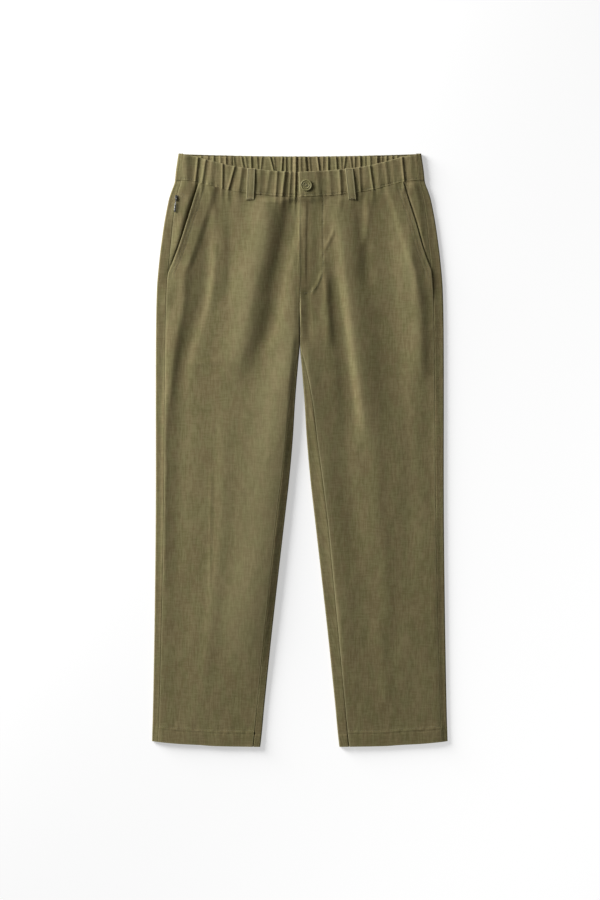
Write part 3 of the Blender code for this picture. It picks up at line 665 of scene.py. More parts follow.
def band_pleats(x, share):
    """Height of the band's pleats, where share goes from 0 at its top edge to 1 at its seam."""
    return sum(pleat_shape(x - mix(pleat.top, pleat.bottom, share) * MM,
                           PLEAT_DEPTH * pleat.depth * MM, pleat.soft) for pleat in PLEATS)


def furrows(x, drop):
    """Height of the furrows under the band."""
    run_out = ease((drop - band_seam(x)) / FURROW_LENGTH)
    widen = mix(*FURROW_WIDEN, run_out)
    return FURROW_DEPTH * (1 - run_out) * sum(
        pleat_shape(x - pleat.bottom * MM, pleat.depth * MM, widen * pleat.soft) for pleat in PLEATS)


# %% [markdown]
# ## How high the cloth lies
#
# An empty trouser leg is two layers of cloth with a little air between them. Its edges are round folds,
# and the upper layer rises from each fold over a few centimetres. Where one layer laps over another, at
# the fly and at the pockets, the upper one rises by the thickness of the lower.

# %% Heights
CLOTH = 0.0012
FRONT_ROOM = 0.0042  # height of the front's outer face at its folds
REST_LIFT = 0.0013
WAIST_LIFT = 0.0014
WAIST_FADE = 0.060
LOFT_EASE = 0.020
INSIDE_EASE = 0.014
INSIDE_FULL = (0.75, 0.68)  # how full the inside fold already is: at the crotch, and lower down
INSIDE_RUN = 0.25
LOWEST = 0.0031  # the most that troughs may sink
SEAM_HOLD = 0.012  # the band's seam holds the cloth flat beside it
LAP_ROOM = 0.0018
LAP_HOLD = 0.008
LAP_FADE = 0.012
LAP_FALL = 0.050
FLY_LAP_START = 0.55  # where the lap starts to fade, as a share of the tongue
FLY_LAP_FADE = 0.036
BAND_STEP = 0.0014  # the lapped band is thicker, and lifts the fly beside it
BAND_STEP_FADE = 0.030
BACK_BAND_SEAM = 0.0450
HEM_DEPTH = 0.0272  # the turned-up hem
HEM_STEP = 0.0005
HEM_STEP_RUN = 0.002


def waist_lift(drop):
    return WAIST_LIFT * (1 - ease((drop - BACK_BAND_SEAM) / WAIST_FADE))


def free_share(x, drop):
    """0 at the folds and 1 where the cloth lies free."""
    out = np.abs(x)
    from_crotch = np.hypot(out, CROTCH_DROP - drop)
    from_inside = np.where(drop > CROTCH_DROP, out - inside_fold(drop), from_crotch)
    fullness = mix(*INSIDE_FULL, ease((drop - CROTCH_DROP) / INSIDE_RUN))
    inside = mix(fullness, 1.0, ease(from_inside / INSIDE_EASE))
    return np.minimum(ease((side_out(drop) - out) / LOFT_EASE), inside)


def relief(x, drop):
    """Creases and crumple, with the troughs held off the layer below."""
    held = ease((drop - band_seam(x)) / SEAM_HOLD)
    lift = held * crease_heights(FRONT_CREASES, x, drop) + crumple(x, drop)
    return np.where(lift < 0, LOWEST * np.tanh(lift / LOWEST), lift)


def hem_step(out, drop):
    """The turned-up hem is one layer thicker."""
    above_edge = hem_edge(out) - drop
    return HEM_STEP * (1 - ease((above_edge - HEM_DEPTH) / HEM_STEP_RUN))


def loft(x, drop):
    """Height of the front's outer face above the table."""
    height = FRONT_ROOM + waist_lift(drop) + hem_step(np.abs(x), drop)
    return height + free_share(x, drop) * (REST_LIFT + relief(x, drop))


def lap(side, out, drop):
    """How much a front rises over the pocket facing and, on the right, over the fly tongue."""
    over = 1 - ease((pocket_mouth(side, drop) - out - POCKET_UNDER - LAP_HOLD) / LAP_FADE)
    over = over * (1 - ease((drop - POCKET_END) / LAP_FALL))
    raised = 0.0
    if side > 0:
        over_fly = 1 - ease((out - FLY_LAP_START * tongue(drop)) / FLY_LAP_FADE)
        over = np.maximum(over, over_fly * (1 - ease((drop - FLY_LAP_END) / LAP_FALL)))
        raised = BAND_STEP * over_fly * (1 - ease((drop - band_seam(out)) / BAND_STEP_FADE))
    return LAP_ROOM * over + raised


def roll(distance, radius):
    """How far a folded edge has turned down, at a distance inside it."""
    inside = np.clip(radius - distance, 0.0, radius)
    return radius - np.sqrt(radius ** 2 - inside ** 2)


# %% [markdown]
# ## Making cloth
#
# One helper makes every cloth piece. It starts from a flat grid, asks a function where each point goes,
# and stores the point's place on the flat cloth for the weave. A Solidify modifier then gives the
# thickness inwards. The grid's lines stand closer where the cloth bends sharply, which keeps edges crisp
# without wasting faces elsewhere.

# %% Cloth helper
EDGE_RADIUS = 0.0007  # of a turned edge of cloth
CREASE_ANGLE = radians(55)  # a rim sharper than this isn't shaded as round


def add_piece(name, mesh, material):
    mesh.materials.clear()
    mesh.materials.append(material)
    return add_object(name, mesh)


def settle(piece):
    """Apply the piece's modifiers and smooth its shading, except at sharp rims."""
    graph = bpy.context.evaluated_depsgraph_get()
    settled = bpy.data.meshes.new_from_object(piece.evaluated_get(graph))
    old = piece.data
    piece.modifiers.clear()
    piece.data = settled
    bpy.data.meshes.remove(old)
    settled.name = piece.name
    settled.shade_smooth()
    settled.set_sharp_from_angle(angle=CREASE_ANGLE)
    return piece


def measure_flat(columns, rows, place, drop):
    """Reshape the points' places on the flat cloth into the grid's rows, and keep nothing."""
    place, drop = (values.reshape(rows + 1, columns + 1) for values in (place, drop))


def cloth(name, columns, rows, surface, material, thickness=CLOTH, thick_share=None):
    """Make a grid, move it onto a surface and thicken it.

    surface(across, down) takes shares from 0 to 1 and gives each point's x, drop and z, its place along
    the cloth and how much paler it is painted, for rubbed wear and painted highlight. thick_share(x, drop)
    is the share of the thickness that each point has, where it varies.
    """
    bm = bmesh.new()
    bmesh.ops.create_grid(bm, x_segments=columns, y_segments=rows, size=0.5)
    mesh = finished_mesh(name, bm)
    flat = np.empty(len(mesh.vertices) * 3)
    mesh.vertices.foreach_get("co", flat)
    flat = flat.reshape(-1, 3)
    x, drop, z, place, wear_and_highlight = surface(flat[:, 0] + 0.5, 0.5 - flat[:, 1])
    measure_flat(columns, rows, place, drop)
    points = np.stack([x, LENGTH / 2 - drop, z], axis=1)
    mesh.vertices.foreach_set("co", points.ravel())
    where = mesh.attributes.new("cloth", "FLOAT_VECTOR", "POINT")
    where.data.foreach_set("vector", np.stack([place, drop, 0 * drop], axis=1).ravel())
    # this share holds rubbed wear and a painted highlight on raised cloth
    paling = mesh.attributes.new("wear_and_highlight", "FLOAT", "POINT")
    paling.data.foreach_set("value", np.clip(wear_and_highlight + 0 * drop, 0.0, 1.0))
    mesh.update()
    piece = add_piece(name, mesh, material)
    shell = piece.modifiers.new("thickness", "SOLIDIFY")
    shell.thickness = thickness
    shell.offset = -1.0
    if thick_share:
        group = piece.vertex_groups.new(name="thick")
        for index, share in enumerate(thick_share(x, drop)):
            group.add([index], float(share), "REPLACE")
        shell.vertex_group = group.name
    settle(piece)
    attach(piece, "garment")
    triangles = sum(len(face.vertices) - 2 for face in piece.data.polygons)
    print(f"{name}: {triangles} triangles")
    return piece


# %% Left and right pieces, uneven grids and worn edges
HANDS = ((-1, "left"), (1, "right"))


def pair(kind, columns, rows, surface, material=linen_panels, thickness=CLOTH):
    """Make the left and the right piece of a kind from one surface(side, across, down)."""
    return {hand: cloth(f"{hand}_{kind}", columns, rows, partial(surface, side), material, thickness)
            for side, hand in HANDS}


def lines(share, knots):
    """Spread grid lines unevenly: knots pair a share of the lines with a share of the length."""
    numbers, places = zip(*knots)
    return np.interp(share, numbers, places)


def edge_wear_and_highlight(distance, reach=0.0022):
    """How much paler the cloth is at a distance inside an edge: rubbed wear, and on edges that face the
    lamp also painted highlight.
    """
    return bell(distance, reach)


# %% [markdown]
# ## Front panels
#
# A front runs from the slant of its pocket to the centre, and below the crotch to the seam beside the
# inside fold. The right front laps over the left one at the fly. Each row of the grid is level, then bent
# to follow the band seam and the hem.

# %% Front panels
FOLD_RADIUS = 0.0022
FOLD_QUARTER = FOLD_RADIUS * pi / 2
FRONT_LINES = ((0, 0), (0.17, 0.07), (0.62, 0.76), (0.74, 0.86), (1, 1))
LEVEL_LINES = ((0, 0), (0.15, 0.05), (0.90, 0.968), (1, 1))
TURN_SHARE = 0.05  # share of the grid lines that go down into the inside fold
SEAM_ROLL = 0.0005
SIDE_SEAM_RADIUS = 0.0003
POCKET_STITCHES = (0.0058, 0.0114)  # in from the pocket mouth
POCKET_PULL = 0.45  # of their grooves, where the fly's is 1
POCKET_PULL_FADE = 0.006
FLY_STITCH = 0.0392  # out from the centre
FLY_CURVE_DROP = 0.194
FLY_STITCH_END = 0.2385
FLY_DEPTH = FLY_STITCH_END - FLY_CURVE_DROP
HEM_ROW_PITCH = 0.006  # to a second, weaker groove below the hem's row
HEM_ROW_WEAK = 0.5
PINCH = 0.00040  # how deep a row of stitches pulls the cloth in
PINCH_WIDTH = 0.0014
PUCKER = 0.00035
PUCKER_LENGTH = 0.0065
BAND_PUCKER_REACH = 0.009  # how far down from the band its puckers go
BAND_PUCKER_LENGTH = 0.020
MOUTH_END_RUN = 0.020  # over which a pocket's edge turns into the side seam
BELOW_FLY_RUN = 0.030
MOUTH_WEAR = 0.4
# the right front's inner edge, which faces the lamp, is painted paler than the left's: rubbed wear and
# painted highlight
INNER_WEAR_AND_HIGHLIGHT = 0.8
HEM_WEAR = 0.35
# painted highlight on raised cloth, partly rubbed wear: paler the higher a crease stands
RIDGE_HIGHLIGHT_AND_WEAR = 60.0  # paler cloth for each metre of height above the start
RIDGE_HIGHLIGHT_START = 0.0010
RIDGE_HIGHLIGHT_RANGE = 0.004


def front_edge_run(side, drop):
    """The front's inner edge, along the cloth past the top of the inside fold."""
    return FOLD_QUARTER - inside_strip(side, drop) - SEAM_GAP / 2


def pinch(distance, along_row, seed):
    """A groove at a row of stitches, with small puckers beside it."""
    puckers = bell(distance, 3 * PINCH_WIDTH) * hills(along_row / PUCKER_LENGTH, 0 * along_row + seed, seed)
    return PUCKER * puckers - PINCH * bell(distance, PINCH_WIDTH)


def from_fly_row(out, drop):
    """Distance from the J-shaped row of the fly."""
    depth = (drop - FLY_CURVE_DROP) / FLY_DEPTH
    beside = out - FLY_STITCH * np.sqrt(np.clip(1 - np.clip(depth, 0.0, 1.0) ** 2, 0.0, 1.0))
    below = (drop - FLY_CURVE_DROP) - FLY_DEPTH * np.sqrt(np.clip(1 - (out / FLY_STITCH) ** 2, 0.0, 1.0))
    return np.where((np.abs(beside) < np.abs(below)) | (drop < FLY_CURVE_DROP), beside, below)


def stitch_pinches(side, out, drop):
    """Grooves and puckers of all the rows that cross a front."""
    pulled = 0.0
    in_pocket = ease((POCKET_END - drop) / POCKET_PULL_FADE)
    for seed, inset in enumerate(POCKET_STITCHES, start=21):
        from_row = pocket_mouth(side, drop) - inset - out
        pulled = pulled + POCKET_PULL * in_pocket * pinch(from_row, drop, seed)
    if side > 0:
        pulled = pulled + pinch(from_fly_row(out, drop), drop + out, 31)
    hem_row = hem_edge(out) - HEM_DEPTH - drop
    pulled = pulled + pinch(hem_row, out, 41)
    pulled = pulled + HEM_ROW_WEAK * pinch(hem_row + HEM_ROW_PITCH, out + 0.2, 42)
    at_band = bell(drop - band_seam(out), BAND_PUCKER_REACH)
    return pulled + PUCKER * at_band * hills(side * out / PUCKER_LENGTH, drop / BAND_PUCKER_LENGTH, 51)


def front_top(side, out, drop):
    """Height of a front's outer face, away from its folds."""
    x = side * out
    radius = mix(EDGE_RADIUS, SIDE_SEAM_RADIUS, ease((drop - POCKET_END) / MOUTH_END_RUN))
    edge = roll(pocket_mouth(side, drop) - out, radius)
    return loft(x, drop) + lap(side, out, drop) + furrows(x, drop) + stitch_pinches(side, out, drop) - edge


def front_point(side, share, level):
    """share is 0 at the pocket mouth, 1 where the cloth may turn, and 2 at the inner edge."""
    drop = level
    past = np.clip(share - 1, 0.0, 1.0)
    for _ in range(3):  # the place and the bent row depend on each other, and settle at once
        run_end = front_edge_run(side, drop)
        edge = inside_out(side, drop)
        run = run_end - FOLD_QUARTER * (1 - past)
        angle = np.clip(run, 0.0, None) / FOLD_RADIUS
        turn_out = np.where(run > 0, edge + FOLD_RADIUS * (1 - np.sin(angle)), edge + FOLD_RADIUS - run)
        out = mix(pocket_mouth(side, drop), turn_out, np.minimum(share, 1.0))
        drop = true_drop(level, np.abs(out), np.abs(out))
    room = loft(side * (edge + FOLD_RADIUS), drop)
    fallen = slit(drop) * (room / 2) * (1 - np.cos(angle)) * (share >= 1)
    from_inner = FOLD_QUARTER * (1 - past) + (out - turn_out) * (share < 1)
    below_fly = ease((drop - FLY_END) / BELOW_FLY_RUN) if side < 0 else 1.0
    height = front_top(side, out, drop) - fallen - roll(from_inner, SEAM_ROLL) * below_fly
    # cloth that stands proud is painted paler, a painted highlight, partly rubbed wear
    proud = np.clip(relief(side * out, drop) - RIDGE_HIGHLIGHT_START, 0.0, RIDGE_HIGHLIGHT_RANGE)
    paling = MOUTH_WEAR * edge_wear_and_highlight(pocket_mouth(side, drop) - out)
    # the inner edge is paler on the right front, which faces the lamp: painted highlight as well as rubbed
    # wear
    paling = paling + INNER_WEAR_AND_HIGHLIGHT * edge_wear_and_highlight(from_inner) * (1.0 if side > 0 else 0.5 * below_fly)
    paling = paling + HEM_WEAR * edge_wear_and_highlight(hem_edge(np.abs(out)) - drop) + RIDGE_HIGHLIGHT_AND_WEAR * proud
    return side * out, drop, height, side * out, paling


def front_surface(side, across, down):
    share = across if side < 0 else 1 - across
    main = share / (1 - TURN_SHARE)
    turn = (share - (1 - TURN_SHARE)) / TURN_SHARE
    share = np.where(main < 1, lines(main, FRONT_LINES), 1 + np.clip(turn, 0.0, 1.0))
    return front_point(side, share, mix(TOP_LEVEL, LENGTH, lines(down, LEVEL_LINES)))


fronts = pair("front_panel", 184, 262, front_surface)

# %% [markdown]
# ## Back panels
#
# A back panel lies on the table, turns up round the side fold and round the inside fold, and shows on top
# as a narrow strip beside each seam. It is one grid, laid along the cloth from seam to seam.

# %% Back panels
BACK_CREASES = [
    Crease(((-150, 120), (-128, 260), (-142, 420)), 14, 10, 0.7),
    Crease(((-96, 150), (-110, 330), (-104, 520)), 11, 15, 0.8),
    Crease(((-176, 480), (-168, 640), (-172, 820)), 13, 10, 0.7),
    Crease(((-118, 560), (-130, 740), (-138, 900)), 10, 14, 0.6),
    Crease(((60, 130), (88, 280), (96, 440)), 15, 11, 0.8),
    Crease(((146, 110), (140, 260), (158, 400)), 10, 14, 0.7),
    Crease(((124, 500), (132, 660), (128, 830)), 14, 11, 0.7),
    Crease(((186, 540), (180, 700), (188, 880)), 11, 13, 0.6),
    Crease(((-205, 345), (-160, 352), (-110, 348)), 7, 5, 0.4),
    Crease(((100, 350), (150, 356), (205, 349)), 5, 7, 0.4),
]
BACK_LINES = ((0, 0), (0.13, 1), (0.27, 2), (0.72, 3), (0.86, 4), (1, 5))
MOST_TURNED = 0.9  # share of the cloth past the inside fold that its turn may take
STRIP_EASE = 0.002  # how soon the strip past that turn lies as high as the front
FOLD_WEAR = 0.35
FOLD_WEAR_REACH = 0.0012


def underside(x, drop):
    """Height of the back's outer face, where it lies on the table."""
    return crease_heights(BACK_CREASES, x, drop) * free_share(x, drop)


def stretches(share):
    """How far along each of five stretches a place is, from 0 to 1."""
    return (np.clip(share - step, 0.0, 1.0) for step in range(5))


def back_point(side, share, level):
    """share goes from 0 at the side seam to 5 at the inside seam, one for each stretch of the cloth."""
    side_drop = true_drop(level, side_out(level), side_out(level))
    edge = side_out(side_drop)
    seam = side_seam(side_drop)
    inner = inside_out(1, side_drop)
    top_strip, side_turn, flat, inner_turn, last_strip = stretches(share)
    stretch = [share <= 1, share <= 2, share <= 3]
    side_room = FRONT_ROOM + waist_lift(side_drop)
    inner_room = loft(side * (inner + FOLD_RADIUS), side_drop)
    run_end = FOLD_QUARTER + inside_strip(side, side_drop) - SEAM_GAP / 2
    run_turned = np.minimum(2 * FOLD_QUARTER, MOST_TURNED * run_end)
    run = run_turned * inner_turn + (run_end - run_turned) * last_strip

    on_strip = mix(seam, edge - FOLD_RADIUS, top_strip)
    side_angle = pi * (1 - side_turn)
    on_side_turn = edge - FOLD_RADIUS * (1 - np.sin(side_angle))
    on_flat = mix(edge - FOLD_RADIUS, inner + FOLD_RADIUS, flat)
    angle = np.minimum(run, 2 * FOLD_QUARTER) / FOLD_RADIUS
    on_inner_turn = inner + FOLD_RADIUS * (1 - np.sin(angle))
    past_turn = np.clip(run - 2 * FOLD_QUARTER, 0.0, None)
    out = np.select(stretch, [on_strip, on_side_turn, on_flat], on_inner_turn + past_turn)
    drop = true_drop(level, out, side_out(level))

    x = side * out
    strip_height = mix(loft(x, side_drop), side_room, ease(top_strip))
    inner_height = slit(side_drop) * (inner_room / 2) * (1 - np.cos(angle))
    strip_end = mix(inner_height, loft(x, side_drop), ease(past_turn / STRIP_EASE))
    z = np.select(stretch,
                  [strip_height - roll(top_strip * (edge - seam), SEAM_ROLL),
                   (side_room / 2) * (1 - np.cos(side_angle)), underside(x, drop)],
                  np.where(past_turn > 0, strip_end, inner_height))
    z = z - roll(run_end - run, SEAM_ROLL) * (past_turn > 0)
    place = np.select(stretch,
                      [top_strip * (edge - seam), edge - seam + 2 * FOLD_QUARTER * side_turn,
                       2 * edge - seam - on_flat + 2 * FOLD_QUARTER], 2 * edge - seam - inner + run)
    folded = bell(z - side_room / 2, FOLD_WEAR_REACH) * (share < 2.2) * (share > 0.8)
    paling = FOLD_WEAR * folded + HEM_WEAR * edge_wear_and_highlight(hem_edge(out) - drop)
    return x, drop, z, place, paling


def back_surface(side, across, down):
    share = across if side > 0 else 1 - across
    return back_point(side, lines(share, BACK_LINES), mix(TOP_LEVEL, LENGTH, lines(down, LEVEL_LINES)))


backs = pair("back_panel", 110, 230, back_surface)

# %% [markdown]
# ## Pocket facings
#
# Behind each slanted pocket mouth lies a facing of the same linen. It closes the garment up to the side
# seam and runs under the front panel, and its soft shadow is what makes the pocket read as open.

# %% Pocket facings
POCKET_DIP = 0.0034  # how deep the left one sinks at its mouth
DIP_WIDTH = 0.0060
DIP_DEEPEST = 0.096  # the drop where it is deepest
DIP_LENGTH = 0.036
DIP_EVEN = 0.40  # share of the depth that it has along the whole mouth
DIP_TOP_FADE = 0.012
DIP_END_FADE = 0.050
POCKET_STEP = 0.0018  # its own step down, right beside the front's edge
STEP_WIDTH = 0.0024
RIGHT_POCKET_RISE = 0.0016  # the right facing stands as high as the front beside it
RIGHT_GROOVE = 0.0050
RIGHT_LINE = 0.0010  # a sharper line beside the mouth
RIGHT_LINE_WIDTH = 0.0014
FACING_END = 0.012  # how near its side seam the facing comes down again
FACING_CROWD = 1.3  # above 1 the grid's lines crowd towards the side seam
FACING_SHORT = 0.006  # how much sooner than the pocket mouth it ends
FACING_WEAR = 0.5


def pocket_dip(side, out, drop):
    """The facing sinks towards the pocket mouth, most in the middle of the slant."""
    away = np.clip(out - pocket_mouth(side, drop), 0.0, None)
    middle = mix(DIP_EVEN, 1.0, bell(drop - DIP_DEEPEST, DIP_LENGTH))
    fade = ease((drop - band_seam(out)) / DIP_TOP_FADE) * ease((POCKET_END - drop) / DIP_END_FADE)
    if side > 0:
        risen = RIGHT_POCKET_RISE * ease(away / RIGHT_GROOVE) * ease((side_seam(drop) - out) / FACING_END)
        return fade * (RIGHT_LINE * bell(away, RIGHT_LINE_WIDTH) - risen)
    return fade * (POCKET_DIP * middle * bell(away, DIP_WIDTH) + POCKET_STEP * bell(away, STEP_WIDTH))


def facing_top(side, out, drop):
    """Height of a facing's outer face."""
    x = side * out
    seam = roll(side_seam(drop) - out, SEAM_ROLL)
    return loft(x, drop) + furrows(x, drop) - pocket_dip(side, out, drop) - seam


def facing_point(side, share, level):
    drop = level
    for _ in range(3):
        out = mix(side_seam(drop) - SEAM_GAP, pocket_mouth(side, drop) - POCKET_UNDER, share)
        drop = true_drop(level, out, out)
    paling = FACING_WEAR * edge_wear_and_highlight(side_seam(drop) - out)
    return side * out, drop, facing_top(side, out, drop), side * out, paling


def facing_surface(side, across, down):
    share = across if side < 0 else 1 - across
    return facing_point(side, share ** FACING_CROWD, mix(TOP_LEVEL, POCKET_END - FACING_SHORT, down))


facings = pair("pocket_facing", 44, 80, facing_surface)

# %% [markdown]
# ## Waistband
#
# The back half of the band is drawn up by its elastic all the way across, and its inside shows above the
# front half, which sags a little lower. Its cloth wraps round both sides of the waist to the side seams.
# The two front halves meet at the button, the right one on top.

# %% Back band: gathers in millimetres, at its top edge and at the edge of the front band
BAND_CLOTH = 0.0024
BAND_HEIGHT = 0.0430
BAND_RADIUS = 0.0030
BAND_ROOM = 0.0064
BAND_UNDER = 0.0042
BACK_BAND_DIP = 0.0042
BAND_TONGUE = 0.026  # how far the left half runs on under the right one

Gather = namedtuple("Gather", "top low depth")
GATHERS = [Gather(*row) for row in (
    (-166, -166, 0.7), (-155, -154, 0.6), (-145, -145, 0.9), (-134, -133, 0.6), (-124, -124, 1),
    (-112, -108, 0.7), (-99, -93, 1.1), (-92, -88, 0.7), (-82, -81, 1.2), (-72, -70, 0.7),
    (-62, -66, 0.8), (-51, -43, 1.5), (-44, -40, 0.9), (-28, -30, 1.2), (-23, -23, 1.2), (-14, -15, 0.6),
    (-5.8, -5.6, 1.7), (2, 3, 0.6), (9, 12, 1), (16, 19, 0.7), (30, 34, 1.5), (41, 40, 0.7),
    (49, 49, 1.4), (62, 64, 1.2), (70, 72, 0.6), (79, 75, 1), (86, 90, 0.8), (94, 94, 0.9),
    (103, 104, 1.4), (112, 112, 0.6), (120, 121, 0.8), (132, 132, 1.2), (140, 140, 0.6), (148, 148, 1),
    (158, 157, 0.7), (166, 166, 0.8),
)]
FrontLoop = namedtuple("FrontLoop", "hand top bottom")
FRONT_LOOPS = [FrontLoop("left", -82.2, -84.2), FrontLoop("right", 83.2, 89.0)]
BACK_LOOPS = [("left", -0.125), ("middle", 0.0), ("right", 0.125)]
LOOP_WIDTH = 0.0134
LOOP_CLOTH = 0.0011
LOOP_BELOW = 0.0108
LOOP_ARCH = 0.0012
LAY_GAP = 0.0004
DENT_FLAT = LOOP_WIDTH / 2 + 0.0015
DENT_SLOPE = 0.004
BAND_EDGE = 0.0011
BACK_BAND_LINES = ((0, 0), (0.04, 1), (0.07, 2), (0.93, 3), (0.96, 4), (1, 5))
THICKEST_BAND = 0.0036
THINNEST_BAND = 0.0004
SMOOTH_FROM = 0.178  # the band is smooth from here out, where it goes round the side
SMOOTH_RUN = 0.010
GATHER_DEPTH = 1.45  # times the depths of the table
GATHER_SOFT = 0.85
GATHER_RUN = 0.030  # from the table's first place to its second
# painted highlight on the gathers' crests, partly rubbed wear
GATHER_HIGHLIGHT_AND_WEAR = 95.0  # paler cloth for each metre of a gather's height
GATHER_HIGHLIGHT_RANGE = 0.002
TOP_WAVE = 0.25  # how far the gathers also draw the top edge up, as a share of their height
TOP_WAVE_FADE = 0.008
SIDE_PUCKER = 0.30 * MM  # height, width and length of the puckers beside the side seams
SIDE_PUCKER_WIDTH = 0.004
SIDE_PUCKER_LENGTH = 0.050
SIDE_RISE = 0.8 * MM  # how much higher the band lies at the side seam than at its fold


def back_gathers(x, drop):
    share = np.clip(drop / GATHER_RUN, 0.0, 1.6)
    return sum(pleat_shape(x - mix(gather.top, gather.low, share) * MM,
                           GATHER_DEPTH * gather.depth * MM, GATHER_SOFT) for gather in GATHERS)


def loop_dent(x):
    """How much the back band rises over the belt loops under it."""
    away = np.min([np.abs(x - loop_x) for _, loop_x in BACK_LOOPS], axis=0)
    return (LOOP_CLOTH + SEAM_GAP) * (1 - ease((away - DENT_FLAT) / DENT_SLOPE))


def back_band_point(share, down):
    """share goes from 0 at the left side seam, over both folds, to 5 at the right one."""
    side_drop = BACK_BAND_SEAM * down
    edge = side_out(side_drop)
    seam = side_seam(side_drop)
    quarter = BAND_RADIUS * pi / 2
    left_strip, left_turn, flat, right_turn, right_strip = stretches(share)
    strip = np.where(share < 2.5, 1 - left_strip, right_strip)
    angle = pi * np.where(share < 2.5, 1 - left_turn, right_turn)
    on_top = (share < 1) | (share > 4)
    middle = (share >= 2) & (share <= 3)
    side = np.where(share < 2.5, -1.0, 1.0)
    on_turn = edge - BAND_RADIUS * (1 - np.sin(angle))
    on_side = np.where(on_top, mix(edge - BAND_RADIUS, seam, strip), on_turn)
    x = np.where(middle, mix(BAND_RADIUS - edge, edge - BAND_RADIUS, flat), side * on_side)
    wave = TOP_WAVE * back_gathers(x, 0.0) * np.exp(-side_drop / TOP_WAVE_FADE)
    drop = side_drop + middle * (BACK_BAND_DIP * (1 - down) * (1 - (x / edge) ** 2) - wave)
    puckers = SIDE_PUCKER * hills(x / SIDE_PUCKER_WIDTH, drop / SIDE_PUCKER_LENGTH, 5) * ease(strip / 0.4)
    rolled = roll(side_drop, BAND_EDGE)
    at_seam = roll((1 - strip) * (edge - seam - BAND_RADIUS), SIDE_SEAM_RADIUS)
    z_top = BAND_ROOM + SIDE_RISE * strip + puckers - at_seam - rolled
    z_turn = (BAND_ROOM / 2) * (1 - np.cos(angle))
    z = np.where(middle, loop_dent(x) + rolled, np.where(on_top, z_top, z_turn))
    run = np.where(middle, x, side * (edge + 2 * quarter * (angle / pi) + strip * (edge - seam)))
    # the gathers' crests are painted paler: painted highlight, partly rubbed wear
    return x, drop, z, run, GATHER_HIGHLIGHT_AND_WEAR * np.clip(back_gathers(x, drop), 0.0, GATHER_HIGHLIGHT_RANGE)


def back_band_surface(across, down):
    return back_band_point(lines(1 - across, BACK_BAND_LINES), down)


def back_band_thickness(x, drop):
    """Share of the band's thickest place, less in the valleys between gathers and at the top edge."""
    inside = 1 - ease((np.abs(x) - SMOOTH_FROM) / SMOOTH_RUN)
    thick = BAND_CLOTH + inside * back_gathers(x, drop) - roll(drop - inside * BACK_BAND_DIP, BAND_EDGE)
    return np.clip(thick, THINNEST_BAND, THICKEST_BAND) / THICKEST_BAND


back_band = cloth("back_waistband", 620, 26, back_band_surface, linen_narrow,
                  thickness=THICKEST_BAND, thick_share=back_band_thickness)

# %% [markdown]
# The two front halves lie over the back one. Each is a strip with its pleats, a rolled edge on top and a
# narrow groove above the seam, where the topstitching pulls the layers together.

# %% Front band
BAND_STITCH = 0.0036  # of the topstitching above the seam
GROOVE_DEPTH = 0.00035
BAND_RIPPLE = 0.00028
BAND_WAVE = 0.00040
RIPPLE_EVEN = 0.30  # share of the ripples' height all over, and what the seam adds beside it
RIPPLE_AT_SEAM = 1.1
RIPPLE_REACH = 0.008
BAND_TOP_WEAR = 0.30
# the right band's end faces the lamp and is painted paler: painted highlight, partly rubbed wear
BAND_END_WEAR_AND_HIGHLIGHT = 0.45
BAND_END_REACH = 0.0012
# painted highlight on the pleats' crests, partly rubbed wear
PLEAT_HIGHLIGHT_AND_WEAR = 85.0  # paler cloth for each metre of a pleat's height
PLEAT_HIGHLIGHT_RANGE = 0.002
LAP_GAP = 0.0006  # between the two halves
GROOVE_WIDTH = 0.0009
BAND_SHELL = 0.0016
BAND_SINK = 0.0018  # the left half sinks towards its end, under the right half
SINK_START = -0.034
SINK_RUN = 0.030
BAND_LAP_START = 0.006
BAND_LAP_FADE = 0.046
BAND_LEAN = -0.0022  # the right half's edge leans to the left at its top
BAND_LINES = ((0, 0), (0.15, 0.045), (0.58, 0.76), (1, 1))


def front_band_lap(x):
    """How much the right half rises over the left half's tongue."""
    return (BAND_CLOTH + LAP_GAP) * (1 - ease((x - BAND_LAP_START) / BAND_LAP_FADE))


def front_band_top(side, x, down):
    """Height of the front band's outer face, where down is 0 at its top edge and 1 at its seam."""
    above_seam = (1 - down) * BAND_HEIGHT
    groove = GROOVE_DEPTH * bell(above_seam - BAND_STITCH, GROOVE_WIDTH)
    pulled = RIPPLE_EVEN + RIPPLE_AT_SEAM * bell(above_seam, RIPPLE_REACH)
    ripple = BAND_RIPPLE * hills(x / 0.0038, down * 2.2, 9) + BAND_WAVE * hills(x / 0.013, down * 1.4, 14)
    lapped = front_band_lap(x) if side > 0 else -BAND_SINK * ease((x - SINK_START) / SINK_RUN)
    edges = roll(down * BAND_HEIGHT, BAND_EDGE) + roll(above_seam, EDGE_RADIUS)
    return BAND_UNDER + BAND_CLOTH + lapped + band_pleats(x, down) + pulled * ripple - groove - edges


